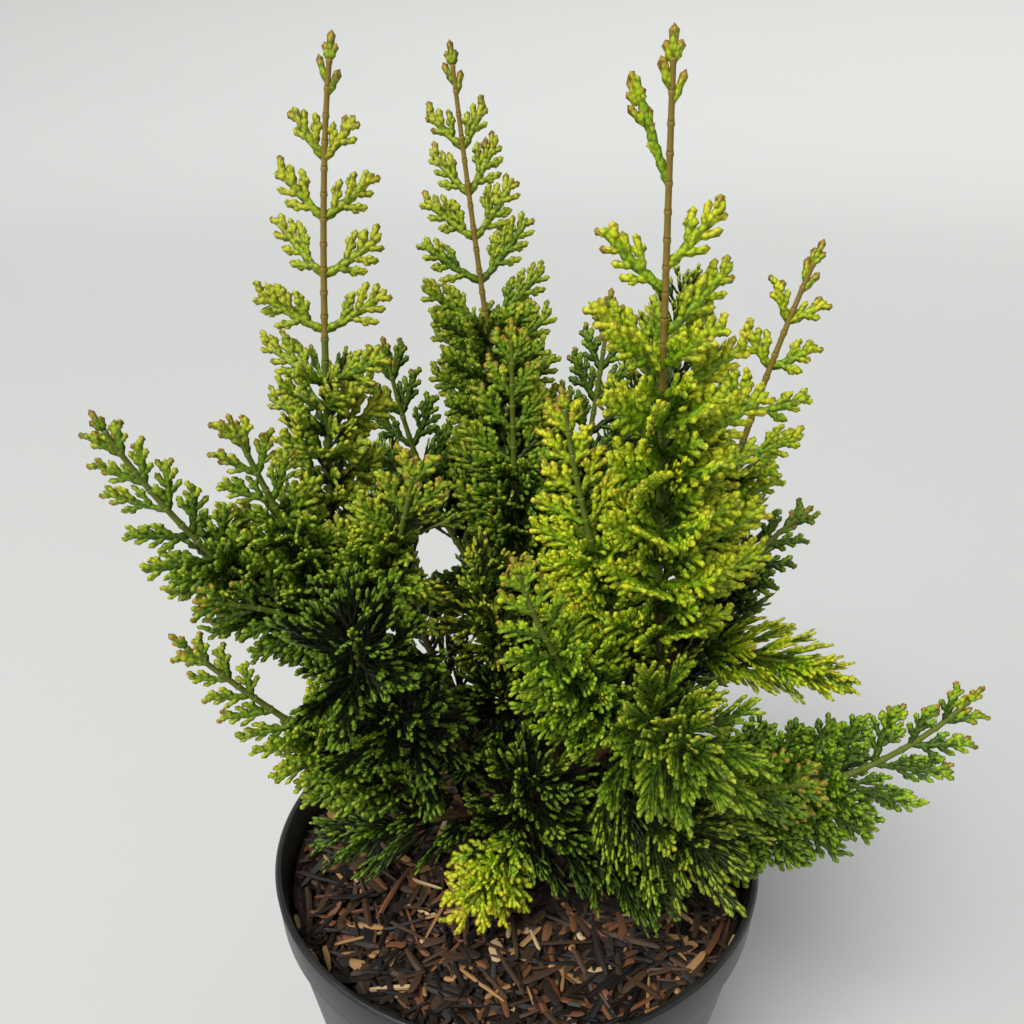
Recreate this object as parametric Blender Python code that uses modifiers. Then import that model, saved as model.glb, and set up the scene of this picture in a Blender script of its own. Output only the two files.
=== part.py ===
"""Potted hinoki cypress: a nursery pot, its compost, a short trunk, ten boughs and masses of foliage."""
import math
import random
from collections import namedtuple

import bmesh
import bpy
import numpy as np
from mathutils import Matrix

MM = 0.001
GAP = 0.3 * MM
UP = np.array([0.0, 0.0, 1.0])

# The pot, a round two litre nursery pot with a stepped collar under its rim
POT_HEIGHT = 135 * MM
RIM_RADIUS = 85 * MM
BASE_RADIUS = 61 * MM
COLLAR_HEIGHT = 14 * MM
COLLAR_STEP = 2.5 * MM
COLLAR_DRAFT = 1 * MM
RIM_THICKNESS = 2.4 * MM
WALL_THICKNESS = 1.6 * MM
TURNED_STEPS = 30
DRAIN_HOLES = 5
DRAIN_HOLE_RADIUS = 4.5 * MM
DRAIN_CIRCLE_SHARE = 0.72

# The compost, with its cover of bark, fills the pot to a finger's width below the rim
MULCH_LEVEL = 126 * MM
MULCH_RINGS = 3
MULCH_SWELL = 1.6 * MM
EDGE_DROP = 6.4 * MM
SEAT_RADIUS = 16 * MM

# The trunk: a flat cut at mulch level, a root flare, a slight lean and a fork
TRUNK_FOOT = np.array([5.0, -2.0, 126.3]) * MM
TRUNK_COMPASS = 50
TRUNK_REACH = 6 * MM
TRUNK_CLIMB = 39 * MM
TRUNK_TURN = -0.4
TRUNK_POINTS = 9
TRUNK_SIDES = 12
TRUNK_FLARE_RADIUS = 7.5 * MM
TRUNK_RADIUS = 4.6 * MM
TRUNK_FORK_RADIUS = 3.6 * MM
FLARE_SHARE = 0.25

# A compass angle is in degrees: 0 is to the right, 90 is away from the viewer, 180 is to the left.
# "at" is the share of the parent limb's length where a limb leaves it. "turn" bends a limb:
# above 0 it runs out first and rises later, below 0 it rises first and arches over.
Bough = namedtuple("Bough", "at compass reach climb turn")
BOUGHS = {
    "left_bough": Bough(0.72, -170, 64, 82, 0.35),
    "middle_bough": Bough(1.00, 105, 18, 57, 0.1),
    "right_bough": Bough(0.80, -40, 45, 61, 0.3),
    "right_back_bough": Bough(0.62, -5, 47, 71, 0.4),
    "lower_left_bough": Bough(0.44, -155, 37, 20, 0.2),
    "lower_right_bough": Bough(0.36, -20, 32, 16, 0.2),
    "front_bough": Bough(0.62, -105, 26, 8, 0.3),
    "back_left_bough": Bough(0.55, 140, 49, 44, 0.35),
    "back_right_bough": Bough(0.68, 50, 48, 52, 0.35),
    "back_low_bough": Bough(0.40, 85, 32, 15, 0.2),
}
BOUGH_FOOT_RADIUS = 2.6 * MM
BOUGH_TIP_RADIUS = 1.7 * MM
BOUGH_POINTS = 6
BOUGH_SIDES = 6

# A shoot is the stem of one mass of foliage. "spread" is the mass's half width, "habit" is flat for
# a frond with its sprays in one plane and bushy for sprays all round, and "faces" is the compass
# angle that a flat frond's face looks to.
Shoot = namedtuple("Shoot", "bough at compass reach climb turn spread habit faces tone")
SHOOTS = {
    "left_leader": Shoot("left_bough", 1.00, 25, 11, 160, -0.5, 21, "flat", -90, "gold"),
    "left_upper_frond": Shoot("left_bough", 0.93, -138, 31, 76, 0.1, 15, "flat", -90, "fresh"),
    "left_side_frond": Shoot("left_bough", 0.82, -155, 67, 90, 0.3, 16, "flat", -90, "fresh"),
    "left_inner_frond": Shoot("left_bough", 0.93, -38, 33, 64, 0.4, 17, "flat", -90, "gold"),
    "left_front_tuft": Shoot("left_bough", 0.80, -84, 54, 43, 0.4, 24, "bushy", 0, "deep"),
    "left_arm": Shoot("left_bough", 0.88, 12, 38, 37, -0.9, 8, "flat", -90, "fresh"),
    "left_low_frond": Shoot("left_bough", 0.68, -145, 58, 49, -0.4, 13, "flat", -90, "fresh"),
    "left_neck": Shoot("left_bough", 0.50, -95, 43, 37, 0.3, 24, "bushy", 0, "deep"),
    "middle_leader": Shoot("middle_bough", 1.00, 145, 29, 172, 0.1, 22, "flat", -90, "gold"),
    "middle_front_frond": Shoot("middle_bough", 0.90, -120, 13, 105, 0.8, 17, "flat", -90, "olive"),
    "middle_left_frond": Shoot("middle_bough", 0.82, 165, 49, 98, 0.5, 18, "flat", -90, "deep"),
    "middle_right_frond": Shoot("middle_bough", 0.76, 40, 32, 115, 0.4, 17, "flat", -90, "deep"),
    "back_middle_shoot": Shoot("middle_bough", 0.64, 95, 54, 74, 0.3, 22, "bushy", 0, "fresh"),
    "gap_sprig": Shoot("middle_bough", 0.52, -115, 48, 72, 0.3, 10, "flat", -90, "olive"),
    "middle_neck": Shoot("middle_bough", 0.30, -115, 35, 34, 0.3, 18, "bushy", 0, "deep"),
    "right_leader": Shoot("right_bough", 1.00, -118, 20, 179, 0.2, 20, "flat", -90, "lime"),
    "right_inner_frond": Shoot("right_bough", 0.93, -170, 30, 100, 0.3, 15, "flat", -90, "lime"),
    "right_side_frond": Shoot("right_back_bough", 0.93, -38, 55, 11, -0.5, 14, "bushy", 0, "lime"),
    "right_low_inner": Shoot("right_bough", 0.72, -135, 52, 79, 0.3, 15, "flat", -90, "lime"),
    "right_front_tuft": Shoot("right_bough", 0.80, -85, 63, 35, 0.0, 26, "bushy", 0, "lime"),
    "right_neck": Shoot("right_bough", 0.45, -65, 55, 10, 0.2, 24, "bushy", 0, "fresh"),
    "right_back_leader": Shoot("right_back_bough", 1.00, 10, 31, 123, -0.2, 18, "flat", -90, "lime"),
    "right_back_frond": Shoot("right_back_bough", 0.86, 15, 45, 51, -0.3, 12, "flat", -90, "fresh"),
    "right_back_tuft": Shoot("right_back_bough", 0.70, 60, 52, 60, 0.3, 22, "bushy", 0, "fresh"),
    "lower_left_branch": Shoot("lower_left_bough", 1.00, -155, 74, 85, 0.1, 14, "flat", -90, "fresh"),
    "lower_left_fringe": Shoot("lower_left_bough", 0.60, -160, 50, 6, 0.0, 16, "bushy", 0, "deep"),
    "lower_right_branch": Shoot("lower_right_bough", 1.00, -15, 102, 69, 0.5, 20, "flat", -90, "lime"),
    "lower_right_front": Shoot("lower_right_bough", 0.55, -40, 82, 60, -0.1, 19, "flat", -90, "fresh"),
    "right_fringe": Shoot("lower_right_bough", 0.36, -60, 52, 10, -0.2, 18, "bushy", 0, "deep"),
    "front_spray": Shoot("front_bough", 1.00, -125, 32, -11, -0.4, 12, "flat", -90, "lime"),
    "front_tuft": Shoot("front_bough", 0.60, -85, 30, 44, -0.2, 18, "bushy", 0, "deep"),
    "centre_fringe": Shoot("front_bough", 0.45, -50, 31, 3, -0.2, 16, "bushy", 0, "deep"),
    "back_left_shoot": Shoot("back_left_bough", 1.00, 125, 37, 63, 0.2, 24, "bushy", 0, "fresh"),
    "back_left_fringe": Shoot("back_left_bough", 0.60, 155, 53, 7, 0.0, 20, "bushy", 0, "deep"),
    "back_right_shoot": Shoot("back_right_bough", 1.00, 55, 35, 113, 0.1, 22, "bushy", 0, "fresh"),
    "back_right_fringe": Shoot("back_right_bough", 0.60, 25, 56, 10, 0.1, 20, "bushy", 0, "deep"),
    "back_low_shoot": Shoot("back_low_bough", 1.00, 100, 49, 34, 0.2, 22, "bushy", 0, "deep"),
}
STEM_FOOT_RADIUS = 1.5 * MM
STEM_TIP_RADIUS = 1.1 * MM
STEM_POINTS = {"flat": 12, "bushy": 5}
STEM_SIDES = 4
PATH_POINTS = 33
FOOT_STEPS = 401

# Sprays leave a stem in pairs, each spray a flat toothed blade that points forward along the stem
PITCH_PER_SPREAD = {"flat": 0.8, "bushy": 0.74}
SHORTEST_PITCH = 13 * MM
FEWEST_PAIRS = 2
LONGEST_SPRAY = 32 * MM
MORE_TEETH_FROM = 21 * MM
FIRST_SPRAY_SHARE = 0.16
LAST_SPRAY_SHARE = 0.90
TIP_CLEARANCE = 16 * MM
FORWARD_ANGLE = 42
BUSHY_TURN = 137.5
TIP_SPRAY_LENGTH = 13 * MM
SPRAY_THICKNESS = 1.5 * MM
SPRAY_HALF_WIDTH_SHARE = 0.32
ROOT_HALF_WIDTH = 0.5 * MM
ROOT_THICKNESS = 0.8 * MM
ROOT_SUNK = 0.3 * MM
SPRAY_LIFT = 0.12
ROOT_MARK = 0.05
BROADEST_SHARE = 0.5
RIB_HALF_WIDTH = 1.2 * MM
FROND_RIPPLE = 0.35
FROND_LEAN = 0.45
FACE_TO_VIEWER = np.array([0.0, -0.91, 0.41])
ANGLE_JITTER = 5
TURN_JITTER = 12

# How long a spray may be by its place on the stem: short at the foot, longest low down, short at the tip
FOOT_SHARE_OF_SPREAD = 0.55
SPREAD_GROWTH = 2.2
TIP_NARROWING = 0.62
TIP_SHARE_OF_SPREAD = 0.12

# A spray's outline, in shares of its length: teeth end short of the tip, with notches behind them
TEETH_END = 0.86
NOTCH_BACK = 0.16
TOOTH_FORWARD = 0.30
NOTCH_WIDTH_SHARE = 0.42
OUTLINE_START = 0.2
OUTLINE_SPAN = 0.62
SHRINK_STEPS = (1.0, 0.85, 0.7, 0.55, 0.42)
SHORTEST_SPRAY = 6 * MM
MASS_MARGIN = 0.8 * MM
LIMB_MARGIN = 0.8 * MM
MULCH_MARGIN = 2.5 * MM

# Gaps through the crown, each a straight bore from one point to another that sprays keep out of
Opening = namedtuple("Opening", "near far radius")
OPENINGS = [
    Opening(np.array([-19, -70, 285]) * MM, np.array([-32, 80, 209]) * MM, 8 * MM),
    Opening(np.array([-59, -70, 246]) * MM, np.array([-99, 80, 142]) * MM, 8 * MM),
]
FLAT_ANGLE = 1.0

TONES = {
    "gold": (0.32, 0.36, 0.05),
    "lime": (0.27, 0.40, 0.03),
    "fresh": (0.13, 0.24, 0.03),
    "olive": (0.17, 0.20, 0.04),
    "deep": (0.04, 0.09, 0.02),
}
FOLIAGE_ROUGHNESS = 0.55
BARK_COLOUR = (0.16, 0.09, 0.05)
BARK_ROUGHNESS = 0.8
POT_COLOUR = (0.03, 0.03, 0.032)
POT_ROUGHNESS = 0.42
MULCH_COLOUR = (0.09, 0.05, 0.03)
MULCH_ROUGHNESS = 0.9

Limb = namedtuple("Limb", "points radii")


def clear_scene():
    for item in list(bpy.data.objects):
        bpy.data.objects.remove(item, do_unlink=True)


def new_collection(name):
    collection = bpy.data.collections.new(name)
    bpy.context.scene.collection.children.link(collection)
    return collection


def add_object(name, data, collection):
    item = bpy.data.objects.new(name, data)
    collection.objects.link(item)
    return item


def finish(item, colour, roughness):
    """Give a sub-part its own material."""
    material = bpy.data.materials.new(item.name + "_finish")
    material.use_nodes = True
    shader = material.node_tree.nodes["Principled BSDF"]
    shader.inputs["Base Color"].default_value = (*colour, 1.0)
    shader.inputs["Roughness"].default_value = roughness
    shader.inputs["Metallic"].default_value = 0.0
    item.data.materials.clear()
    item.data.materials.append(material)


def as_mesh(item, weld=None):
    """Replace a curve, or an object with modifiers, by a mesh object of the same name."""
    graph = bpy.context.evaluated_depsgraph_get()
    mesh = bpy.data.meshes.new_from_object(item.evaluated_get(graph))
    if weld:
        shape = bmesh.new()
        shape.from_mesh(mesh)
        bmesh.ops.remove_doubles(shape, verts=shape.verts, dist=weld)
        shape.to_mesh(mesh)
        shape.free()
    name, place, home = item.name, item.matrix_world.copy(), item.users_collection[0]
    bpy.data.objects.remove(item, do_unlink=True)
    solid = add_object(name, mesh, home)
    solid.matrix_world = place
    return solid


def smooth(item, angle=35):
    item.data.shade_smooth()
    item.data.set_sharp_from_angle(angle=math.radians(angle))


# Turned pieces: the pot and its compost

def turned(name, profile, collection):
    """Turn a profile of (radius, height) points, listed down the outer side, into a closed solid."""
    mesh = bpy.data.meshes.new(name)
    points = [(radius, 0.0, height) for radius, height in profile]
    mesh.from_pydata(points, [(i, i + 1) for i in range(len(points) - 1)], [])
    item = add_object(name, mesh, collection)
    screw = item.modifiers.new("Turn", "SCREW")
    screw.steps = TURNED_STEPS
    screw.render_steps = TURNED_STEPS
    screw.use_merge_vertices = True
    screw.merge_threshold = 1e-5
    screw.use_normal_calculate = False
    return item


def wall_radius(height):
    """The outer radius of the pot's tapering wall, below its collar."""
    top = RIM_RADIUS - COLLAR_STEP
    share = height / (POT_HEIGHT - COLLAR_HEIGHT)
    return BASE_RADIUS + (top - BASE_RADIUS) * share


def make_pot(parts, cutters):
    """The pot's wall, floor, rim and collar in one profile, drilled for drainage."""
    collar_foot = POT_HEIGHT - COLLAR_HEIGHT
    inner_foot = BASE_RADIUS - WALL_THICKNESS
    inner_collar = wall_radius(collar_foot) - WALL_THICKNESS
    profile = [
        (0.0, WALL_THICKNESS),
        (inner_foot, WALL_THICKNESS),
        (inner_collar, collar_foot + WALL_THICKNESS),
        (RIM_RADIUS - RIM_THICKNESS, POT_HEIGHT),
        (RIM_RADIUS, POT_HEIGHT),
        (RIM_RADIUS - COLLAR_DRAFT, collar_foot),
        (wall_radius(collar_foot), collar_foot),
        (BASE_RADIUS, 0.0),
        (0.0, 0.0),
    ]
    pot = turned("pot", profile, parts)
    pot = as_mesh(pot)
    drill = drain_drill(cutters)
    cut = pot.modifiers.new("Drain holes", "BOOLEAN")
    cut.operation = "DIFFERENCE"
    cut.object = drill
    smooth(pot)
    finish(pot, POT_COLOUR, POT_ROUGHNESS)


def drain_drill(cutters):
    """One cutter that holds the ring of drain holes through the pot's floor."""
    shape = bmesh.new()
    for k in range(DRAIN_HOLES):
        angle = 2 * math.pi * (k + 0.5) / DRAIN_HOLES
        reach = BASE_RADIUS * DRAIN_CIRCLE_SHARE
        place = Matrix.Translation((reach * math.cos(angle), reach * math.sin(angle), 0.0))
        bmesh.ops.create_cone(shape, cap_ends=True, segments=8, radius1=DRAIN_HOLE_RADIUS,
                              radius2=DRAIN_HOLE_RADIUS, depth=4 * WALL_THICKNESS, matrix=place)
    mesh = bpy.data.meshes.new("drain_drill")
    shape.to_mesh(mesh)
    shape.free()
    drill = add_object("drain_drill", mesh, cutters)
    drill.hide_render = True
    drill.display_type = "WIRE"
    return drill


def mulch_height(x, y):
    """The uneven top of the bark mulch, level where the trunk stands."""
    waves = math.sin(x / (9 * MM) + 1.3) * math.cos(y / (11 * MM)) + 0.6 * math.sin((x + 2 * y) / (13 * MM))
    away = math.hypot(x - TRUNK_FOOT[0], y - TRUNK_FOOT[1])
    fade = min(1.0, max(0.0, away / SEAT_RADIUS - 1.0))
    return MULCH_LEVEL + MULCH_SWELL * waves * fade - MULCH_SWELL * 0.5 * fade


def make_compost(parts):
    """The filling, its top lowered at the wall, with bark spread over it."""
    foot = WALL_THICKNESS + GAP
    edge = MULCH_LEVEL - EDGE_DROP
    foot_radius = wall_radius(foot) - WALL_THICKNESS - 2 * GAP
    top_radius = wall_radius(edge) - WALL_THICKNESS - 2 * GAP
    profile = [(0.0, MULCH_LEVEL)]
    profile += [(top_radius * (k + 1) / (MULCH_RINGS + 1), MULCH_LEVEL) for k in range(MULCH_RINGS)]
    profile += [(top_radius, edge), (foot_radius, foot), (0.0, foot)]
    compost = as_mesh(turned("compost_and_mulch", profile, parts))
    for corner in compost.data.vertices:
        if corner.co.z > edge + GAP:
            corner.co.z = mulch_height(corner.co.x, corner.co.y)
    smooth(compost, 50)
    finish(compost, MULCH_COLOUR, MULCH_ROUGHNESS)


# Limbs: paths worked out from reach, climb and turn

def bend(foot, compass, reach, climb, turn, count=PATH_POINTS):
    """Points of a limb's centre line, one smooth curve from its foot to its tip."""
    angle = math.radians(compass)
    out = np.array([math.cos(angle), math.sin(angle), 0.0])
    middle = foot + out * reach * (1 + turn) / 2 + UP * climb * (1 - turn) / 2
    tip = foot + out * reach + UP * climb
    share = np.linspace(0.0, 1.0, count)[:, None]
    return (1 - share) ** 2 * foot + 2 * share * (1 - share) * middle + share ** 2 * tip


def unit(vector):
    return vector / np.linalg.norm(vector)


def path_length(points):
    return np.linalg.norm(np.diff(points, axis=0), axis=1).sum()


def taper(foot_radius, tip_radius, count):
    return foot_radius + (tip_radius - foot_radius) * np.linspace(0.0, 1.0, count)


def along(points, share):
    """The point and the unit direction at a share of a path's length."""
    steps = np.linalg.norm(np.diff(points, axis=0), axis=1)
    reached = np.concatenate([[0.0], np.cumsum(steps)])
    target = share * reached[-1]
    k = min(int(np.searchsorted(reached, target, side="right")) - 1, len(steps) - 1)
    direction = (points[k + 1] - points[k]) / steps[k]
    return points[k] + direction * (target - reached[k]), direction


def stretch(points, start, end, count):
    """Evenly spaced points on the part of a path between two shares of its length."""
    return np.array([along(points, share)[0] for share in np.linspace(start, end, count)])


def distance_to(points, limb, flat_ends=True):
    """The distance from each point to a limb's surface, or to its centre line."""
    starts, ends = limb.points[:-1], limb.points[1:]
    lengths = np.linalg.norm(ends - starts, axis=1)
    directions = (ends - starts) / lengths[:, None]
    offset = points[:, None, :] - starts[None, :, :]
    axial = np.einsum("ijk,jk->ij", offset, directions)
    inside = np.clip(axial, 0.0, lengths[None, :])
    radial = np.linalg.norm(offset - axial[:, :, None] * directions[None, :, :], axis=2)
    beyond = np.abs(axial - inside)
    if not flat_ends:
        return np.sqrt(radial ** 2 + beyond ** 2).min(axis=1)
    share = inside / lengths[None, :]
    radius = limb.radii[:-1] + (limb.radii[1:] - limb.radii[:-1]) * share
    return np.sqrt(np.maximum(radial - radius, 0.0) ** 2 + beyond ** 2).min(axis=1)


def rim_of_cap(centre, direction, radius, count=12):
    """Points round a limb's flat foot."""
    side = unit(np.cross(direction, FACE_TO_VIEWER))
    other = np.cross(direction, side)
    angles = np.linspace(0.0, 2 * math.pi, count, endpoint=False)[:, None]
    return centre + radius * (np.cos(angles) * side + np.sin(angles) * other)


def clear_share(points, radius, parent):
    """The share of a path's length from which its foot is clear of the parent limb."""
    for share in np.linspace(0.0, 0.5, FOOT_STEPS):
        centre, direction = along(points, share)
        if distance_to(rim_of_cap(centre, direction, radius), parent).min() >= GAP:
            return share
    raise ValueError("a limb never leaves its parent")


def tube(name, points, radii, collection, sides):
    """A tapering limb: a curve with a round bevel, closed at both ends, then a welded mesh."""
    curve = bpy.data.curves.new(name, "CURVE")
    curve.dimensions = "3D"
    curve.bevel_depth = 1.0
    curve.bevel_resolution = (sides - 4) // 2
    curve.use_fill_caps = True
    spline = curve.splines.new("POLY")
    spline.points.add(len(points) - 1)
    for corner, place, radius in zip(spline.points, points, radii):
        corner.co = (*place, 1.0)
        corner.radius = radius
    item = as_mesh(add_object(name, curve, collection), weld=1e-5)
    smooth(item, 50)
    return item


def trunk_limb():
    """The trunk's path, with its first stretch upright, and its flared radii."""
    points = bend(TRUNK_FOOT, TRUNK_COMPASS, TRUNK_REACH, TRUNK_CLIMB, TRUNK_TURN, TRUNK_POINTS)
    points[1, :2] = points[0, :2]
    shares = np.linspace(0.0, 1.0, len(points))
    flare = np.clip(1.0 - shares / FLARE_SHARE, 0.0, 1.0) ** 2 * (TRUNK_FLARE_RADIUS - TRUNK_RADIUS)
    radii = taper(TRUNK_RADIUS, TRUNK_FORK_RADIUS, len(points)) + flare
    return Limb(points, radii)


def grow(parent, entry, foot_radius, tip_radius, count):
    """A limb's whole path from its parent's centre line, and the solid stretch clear of the parent."""
    foot = along(parent.points, entry.at)[0]
    path = bend(foot, entry.compass, entry.reach * MM, entry.climb * MM, entry.turn)
    start = clear_share(path, foot_radius, parent)
    return Limb(stretch(path, start, 1.0, count), taper(foot_radius, tip_radius, count))


def make_limb(name, limb, sides, parts):
    finish(tube(name, limb.points, limb.radii, parts, sides), BARK_COLOUR, BARK_ROUGHNESS)


# Sprays: flat toothed blades

def spray_outline(teeth):
    """The outline of a spray of unit length, from its root along one side to the tip and back."""
    side = [(0.0, ROOT_MARK)]
    for k in range(teeth):
        share = (k + 1) / (teeth + 1)
        width = SPRAY_HALF_WIDTH_SHARE * math.sin(math.pi * (OUTLINE_START + OUTLINE_SPAN * share))
        side.append((TEETH_END * share - NOTCH_BACK / teeth, NOTCH_WIDTH_SHARE * width))
        side.append((TEETH_END * share + TOOTH_FORWARD / (teeth + 1), width))
    return side + [(1.0, 0.0)] + [(x, -y) for x, y in reversed(side)]


def spray_template(teeth):
    """A flat blade of unit length cut to the outline of a spray, thinned to an edge at its teeth."""
    curve = bpy.data.curves.new("spray", "CURVE")
    curve.dimensions = "2D"
    curve.fill_mode = "BOTH"
    curve.extrude = 0.5
    outline = spray_outline(teeth)
    spline = curve.splines.new("POLY")
    spline.points.add(len(outline) - 1)
    spline.use_cyclic_u = True
    for corner, (x, y) in zip(spline.points, outline):
        corner.co = (x, y, 0.0, 1.0)
    item = as_mesh(add_object("spray_template", curve, bpy.context.scene.collection), weld=1e-4)
    points = [outline[k] for k in range(2, len(outline) - 2, 2)]
    shape = bmesh.new()
    shape.from_mesh(item.data)
    for corner in shape.verts:
        if min(math.dist(corner.co.xy, point) for point in points) < ROOT_MARK / 10:
            corner.co.z = 0.0
    bmesh.ops.remove_doubles(shape, verts=shape.verts, dist=1e-4)
    bmesh.ops.triangulate(shape, faces=shape.faces)
    bmesh.ops.recalc_face_normals(shape, faces=shape.faces)
    shape.to_mesh(item.data)
    shape.free()
    mesh = item.data
    bpy.data.objects.remove(item, do_unlink=True)
    return mesh


def place_spray(corners, root, forward, normal, length):
    """Blade corners in the world: x along the blade, y across it, z through its thickness."""
    across = np.cross(normal, forward)
    x, y, z = corners[:, :1] * length, corners[:, 1:2] * length, corners[:, 2:] * SPRAY_THICKNESS
    at_root = corners[:, :1] < ROOT_MARK
    x = np.where(at_root, -ROOT_SUNK, x)
    y = np.where(at_root, np.sign(y) * ROOT_HALF_WIDTH, y)
    z = np.where(at_root, np.sign(z) * ROOT_THICKNESS / 2, z)
    lift = SPRAY_LIFT * length * corners[:, :1] ** 2
    return root + x * forward + y * across + (z + lift) * normal


def envelope(share):
    """How long the sprays are along a stem, as a share of the mass's half width."""
    opening = min(1.0, FOOT_SHARE_OF_SPREAD + SPREAD_GROWTH * share)
    return opening * (1.0 - share) ** TIP_NARROWING + TIP_SHARE_OF_SPREAD


def pair_shares(length, shoot):
    """Where the pairs of sprays stand along a stem, as shares of its length."""
    pitch = max(SHORTEST_PITCH, PITCH_PER_SPREAD[shoot.habit] * shoot.spread * MM)
    last = min(LAST_SPRAY_SHARE, 1.0 - TIP_CLEARANCE / length) if shoot.habit == "flat" else LAST_SPRAY_SHARE
    pairs = max(FEWEST_PAIRS, round(length * (last - FIRST_SPRAY_SHARE) / pitch) + 1)
    return np.linspace(FIRST_SPRAY_SHARE, last, pairs)


def bushy_places(own, shoot, seed):
    """Where each spray of a bushy mass starts, where it points, its face and its full length."""
    chance = random.Random(seed)
    pairs = len(pair_shares(path_length(own.points), shoot))
    for k, share in enumerate(np.linspace(FIRST_SPRAY_SHARE, LAST_SPRAY_SHARE, 2 * pairs)):
        root, direction = along(own.points, share)
        turn = math.radians(BUSHY_TURN * k + chance.uniform(-TURN_JITTER, TURN_JITTER))
        side = unit(np.cross(direction, FACE_TO_VIEWER))
        outward = math.cos(turn) * side + math.sin(turn) * np.cross(side, direction)
        tilt = math.radians(FORWARD_ANGLE + chance.uniform(-ANGLE_JITTER, ANGLE_JITTER))
        forward = math.sin(tilt) * outward + math.cos(tilt) * direction
        face = unit(np.cross(forward, np.cross(direction, outward)))
        length = shoot.spread * MM * envelope(share) / math.sin(tilt)
        yield root, forward, face, min(length, LONGEST_SPRAY)
    root, direction = along(own.points, 1.0 - TIP_SPRAY_LENGTH / path_length(own.points))
    side = unit(np.cross(direction, FACE_TO_VIEWER))
    yield root, direction, np.cross(side, direction), TIP_SPRAY_LENGTH


def sample(points, triangles):
    """Corners and middles of a blade's triangles and sides, where its clearance is tested."""
    a, b, c = (points[triangles[:, k]] for k in range(3))
    return np.concatenate([points, (a + b) / 2, (b + c) / 2, (c + a) / 2, (a + b + c) / 3])


def blocks_opening(points):
    """Whether any of the points lies in a gap through the crown."""
    for opening in OPENINGS:
        line = unit(opening.far - opening.near)
        away = np.linalg.norm(np.cross(points - opening.near, line), axis=1)
        if away.min() < opening.radius:
            return True
    return False


def keeps_to_its_space(points, own, others, limbs):
    """Whether a blade stays nearer its own stem than any other, off the limbs and above the mulch."""
    heights, reach = points[:, 2], np.hypot(points[:, 0], points[:, 1])
    if heights.min() < MULCH_LEVEL + MULCH_MARGIN or blocks_opening(points):
        return False
    if ((heights < POT_HEIGHT + LIMB_MARGIN) & (reach > RIM_RADIUS - 2 * RIM_THICKNESS)).any():
        return False
    for limb in limbs:
        if distance_to(points, limb).min() < LIMB_MARGIN:
            return False
    home = distance_to(points, own, flat_ends=False)
    for other in others:
        away = distance_to(points, other, flat_ends=False)
        if (away - home).min() < MASS_MARGIN or distance_to(points, other).min() < LIMB_MARGIN:
            return False
    return True


def fitting_spray(template, triangles, place, own, others, limbs):
    """The largest size of a spray that keeps to its mass's space, or nothing."""
    root, forward, normal, length = place
    for shrink in SHRINK_STEPS:
        if length * shrink < SHORTEST_SPRAY:
            return None
        points = place_spray(template, root, forward, normal, length * shrink)
        if keeps_to_its_space(sample(points, triangles), own, others, limbs):
            return points
    return None


def teeth_for(length):
    return 1 if length < MORE_TEETH_FROM else 2


def template_arrays(mesh):
    """A template's corners and triangles as arrays."""
    corners = np.array([corner.co for corner in mesh.vertices])
    triangles = np.array([face.vertices for face in mesh.polygons])
    return corners, triangles


def clean_faces(item):
    """Merge the flat neighbours that a union leaves split, so that a blade keeps few faces."""
    shape = bmesh.new()
    shape.from_mesh(item.data)
    bmesh.ops.dissolve_limit(shape, angle_limit=math.radians(FLAT_ANGLE), verts=shape.verts,
                             edges=shape.edges)
    bmesh.ops.triangulate(shape, faces=shape.faces)
    bmesh.ops.delete(shape, geom=[edge for edge in shape.edges if edge.is_wire], context="EDGES")
    loose = [corner for corner in shape.verts if not corner.link_faces]
    bmesh.ops.delete(shape, geom=loose, context="VERTS")
    shape.to_mesh(item.data)
    shape.free()


def join_sprays(mass, sprays):
    """Join a stem and its sprays by one Boolean union, and remove the loose sprays."""
    join = mass.modifiers.new("Join sprays", "BOOLEAN")
    join.operation = "UNION"
    join.operand_type = "COLLECTION"
    join.collection = sprays
    join.solver = "MANIFOLD"
    mass = as_mesh(mass)
    for blade in list(sprays.objects):
        bpy.data.objects.remove(blade, do_unlink=True)
    bpy.data.collections.remove(sprays)
    clean_faces(mass)
    return mass


def make_bushy_mass(name, seed, own, others, limbs, templates, parts):
    """A mass with sprays all round: a tapering stem and toothed blades."""
    mass = tube(name, own.points, own.radii, parts, STEM_SIDES)
    sprays = new_collection(name + "_sprays")
    for place in bushy_places(own, SHOOTS[name], seed):
        mesh, corners, triangles = templates[teeth_for(place[3])]
        points = fitting_spray(corners, triangles, place, own, others, limbs)
        if points is None:
            continue
        blade = mesh.copy()
        blade.vertices.foreach_set("co", points.ravel())
        add_object(name + "_spray", blade, sprays)
    return join_sprays(mass, sprays)


# Flat fronds: a sheet with a rib, from whose edges the sprays are extruded

def on_frond(own, x, y, pitch, face):
    """The place in the world of a point x along a frond's rib and y across it."""
    total = path_length(own.points)
    point, direction = along(own.points, min(max(x / total, 0.0), 1.0))
    point = point + direction * (x - min(max(x, 0.0), total))
    side = unit(np.cross(direction, face))
    root = x - abs(y) / math.tan(math.radians(FORWARD_ANGLE))
    wave = math.sin(math.pi * root / pitch + (0.0 if y > 0 else math.pi / 2))
    return point + y * side + FROND_RIPPLE * abs(y) * wave * np.cross(side, direction)


def side_spray(x, hand, length):
    """The broad part and the tip of a side spray, in frond coordinates: back, front, tip."""
    angle = math.radians(FORWARD_ANGLE)
    forward = np.array([math.cos(angle), hand * math.sin(angle)])
    across = np.array([math.sin(angle), -hand * math.cos(angle)])
    root = np.array([x, hand * RIB_HALF_WIDTH])
    middle = root + BROADEST_SHARE * length * forward
    half = SPRAY_HALF_WIDTH_SHARE * length * across
    return middle - half, middle + half, root + length * forward


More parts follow.
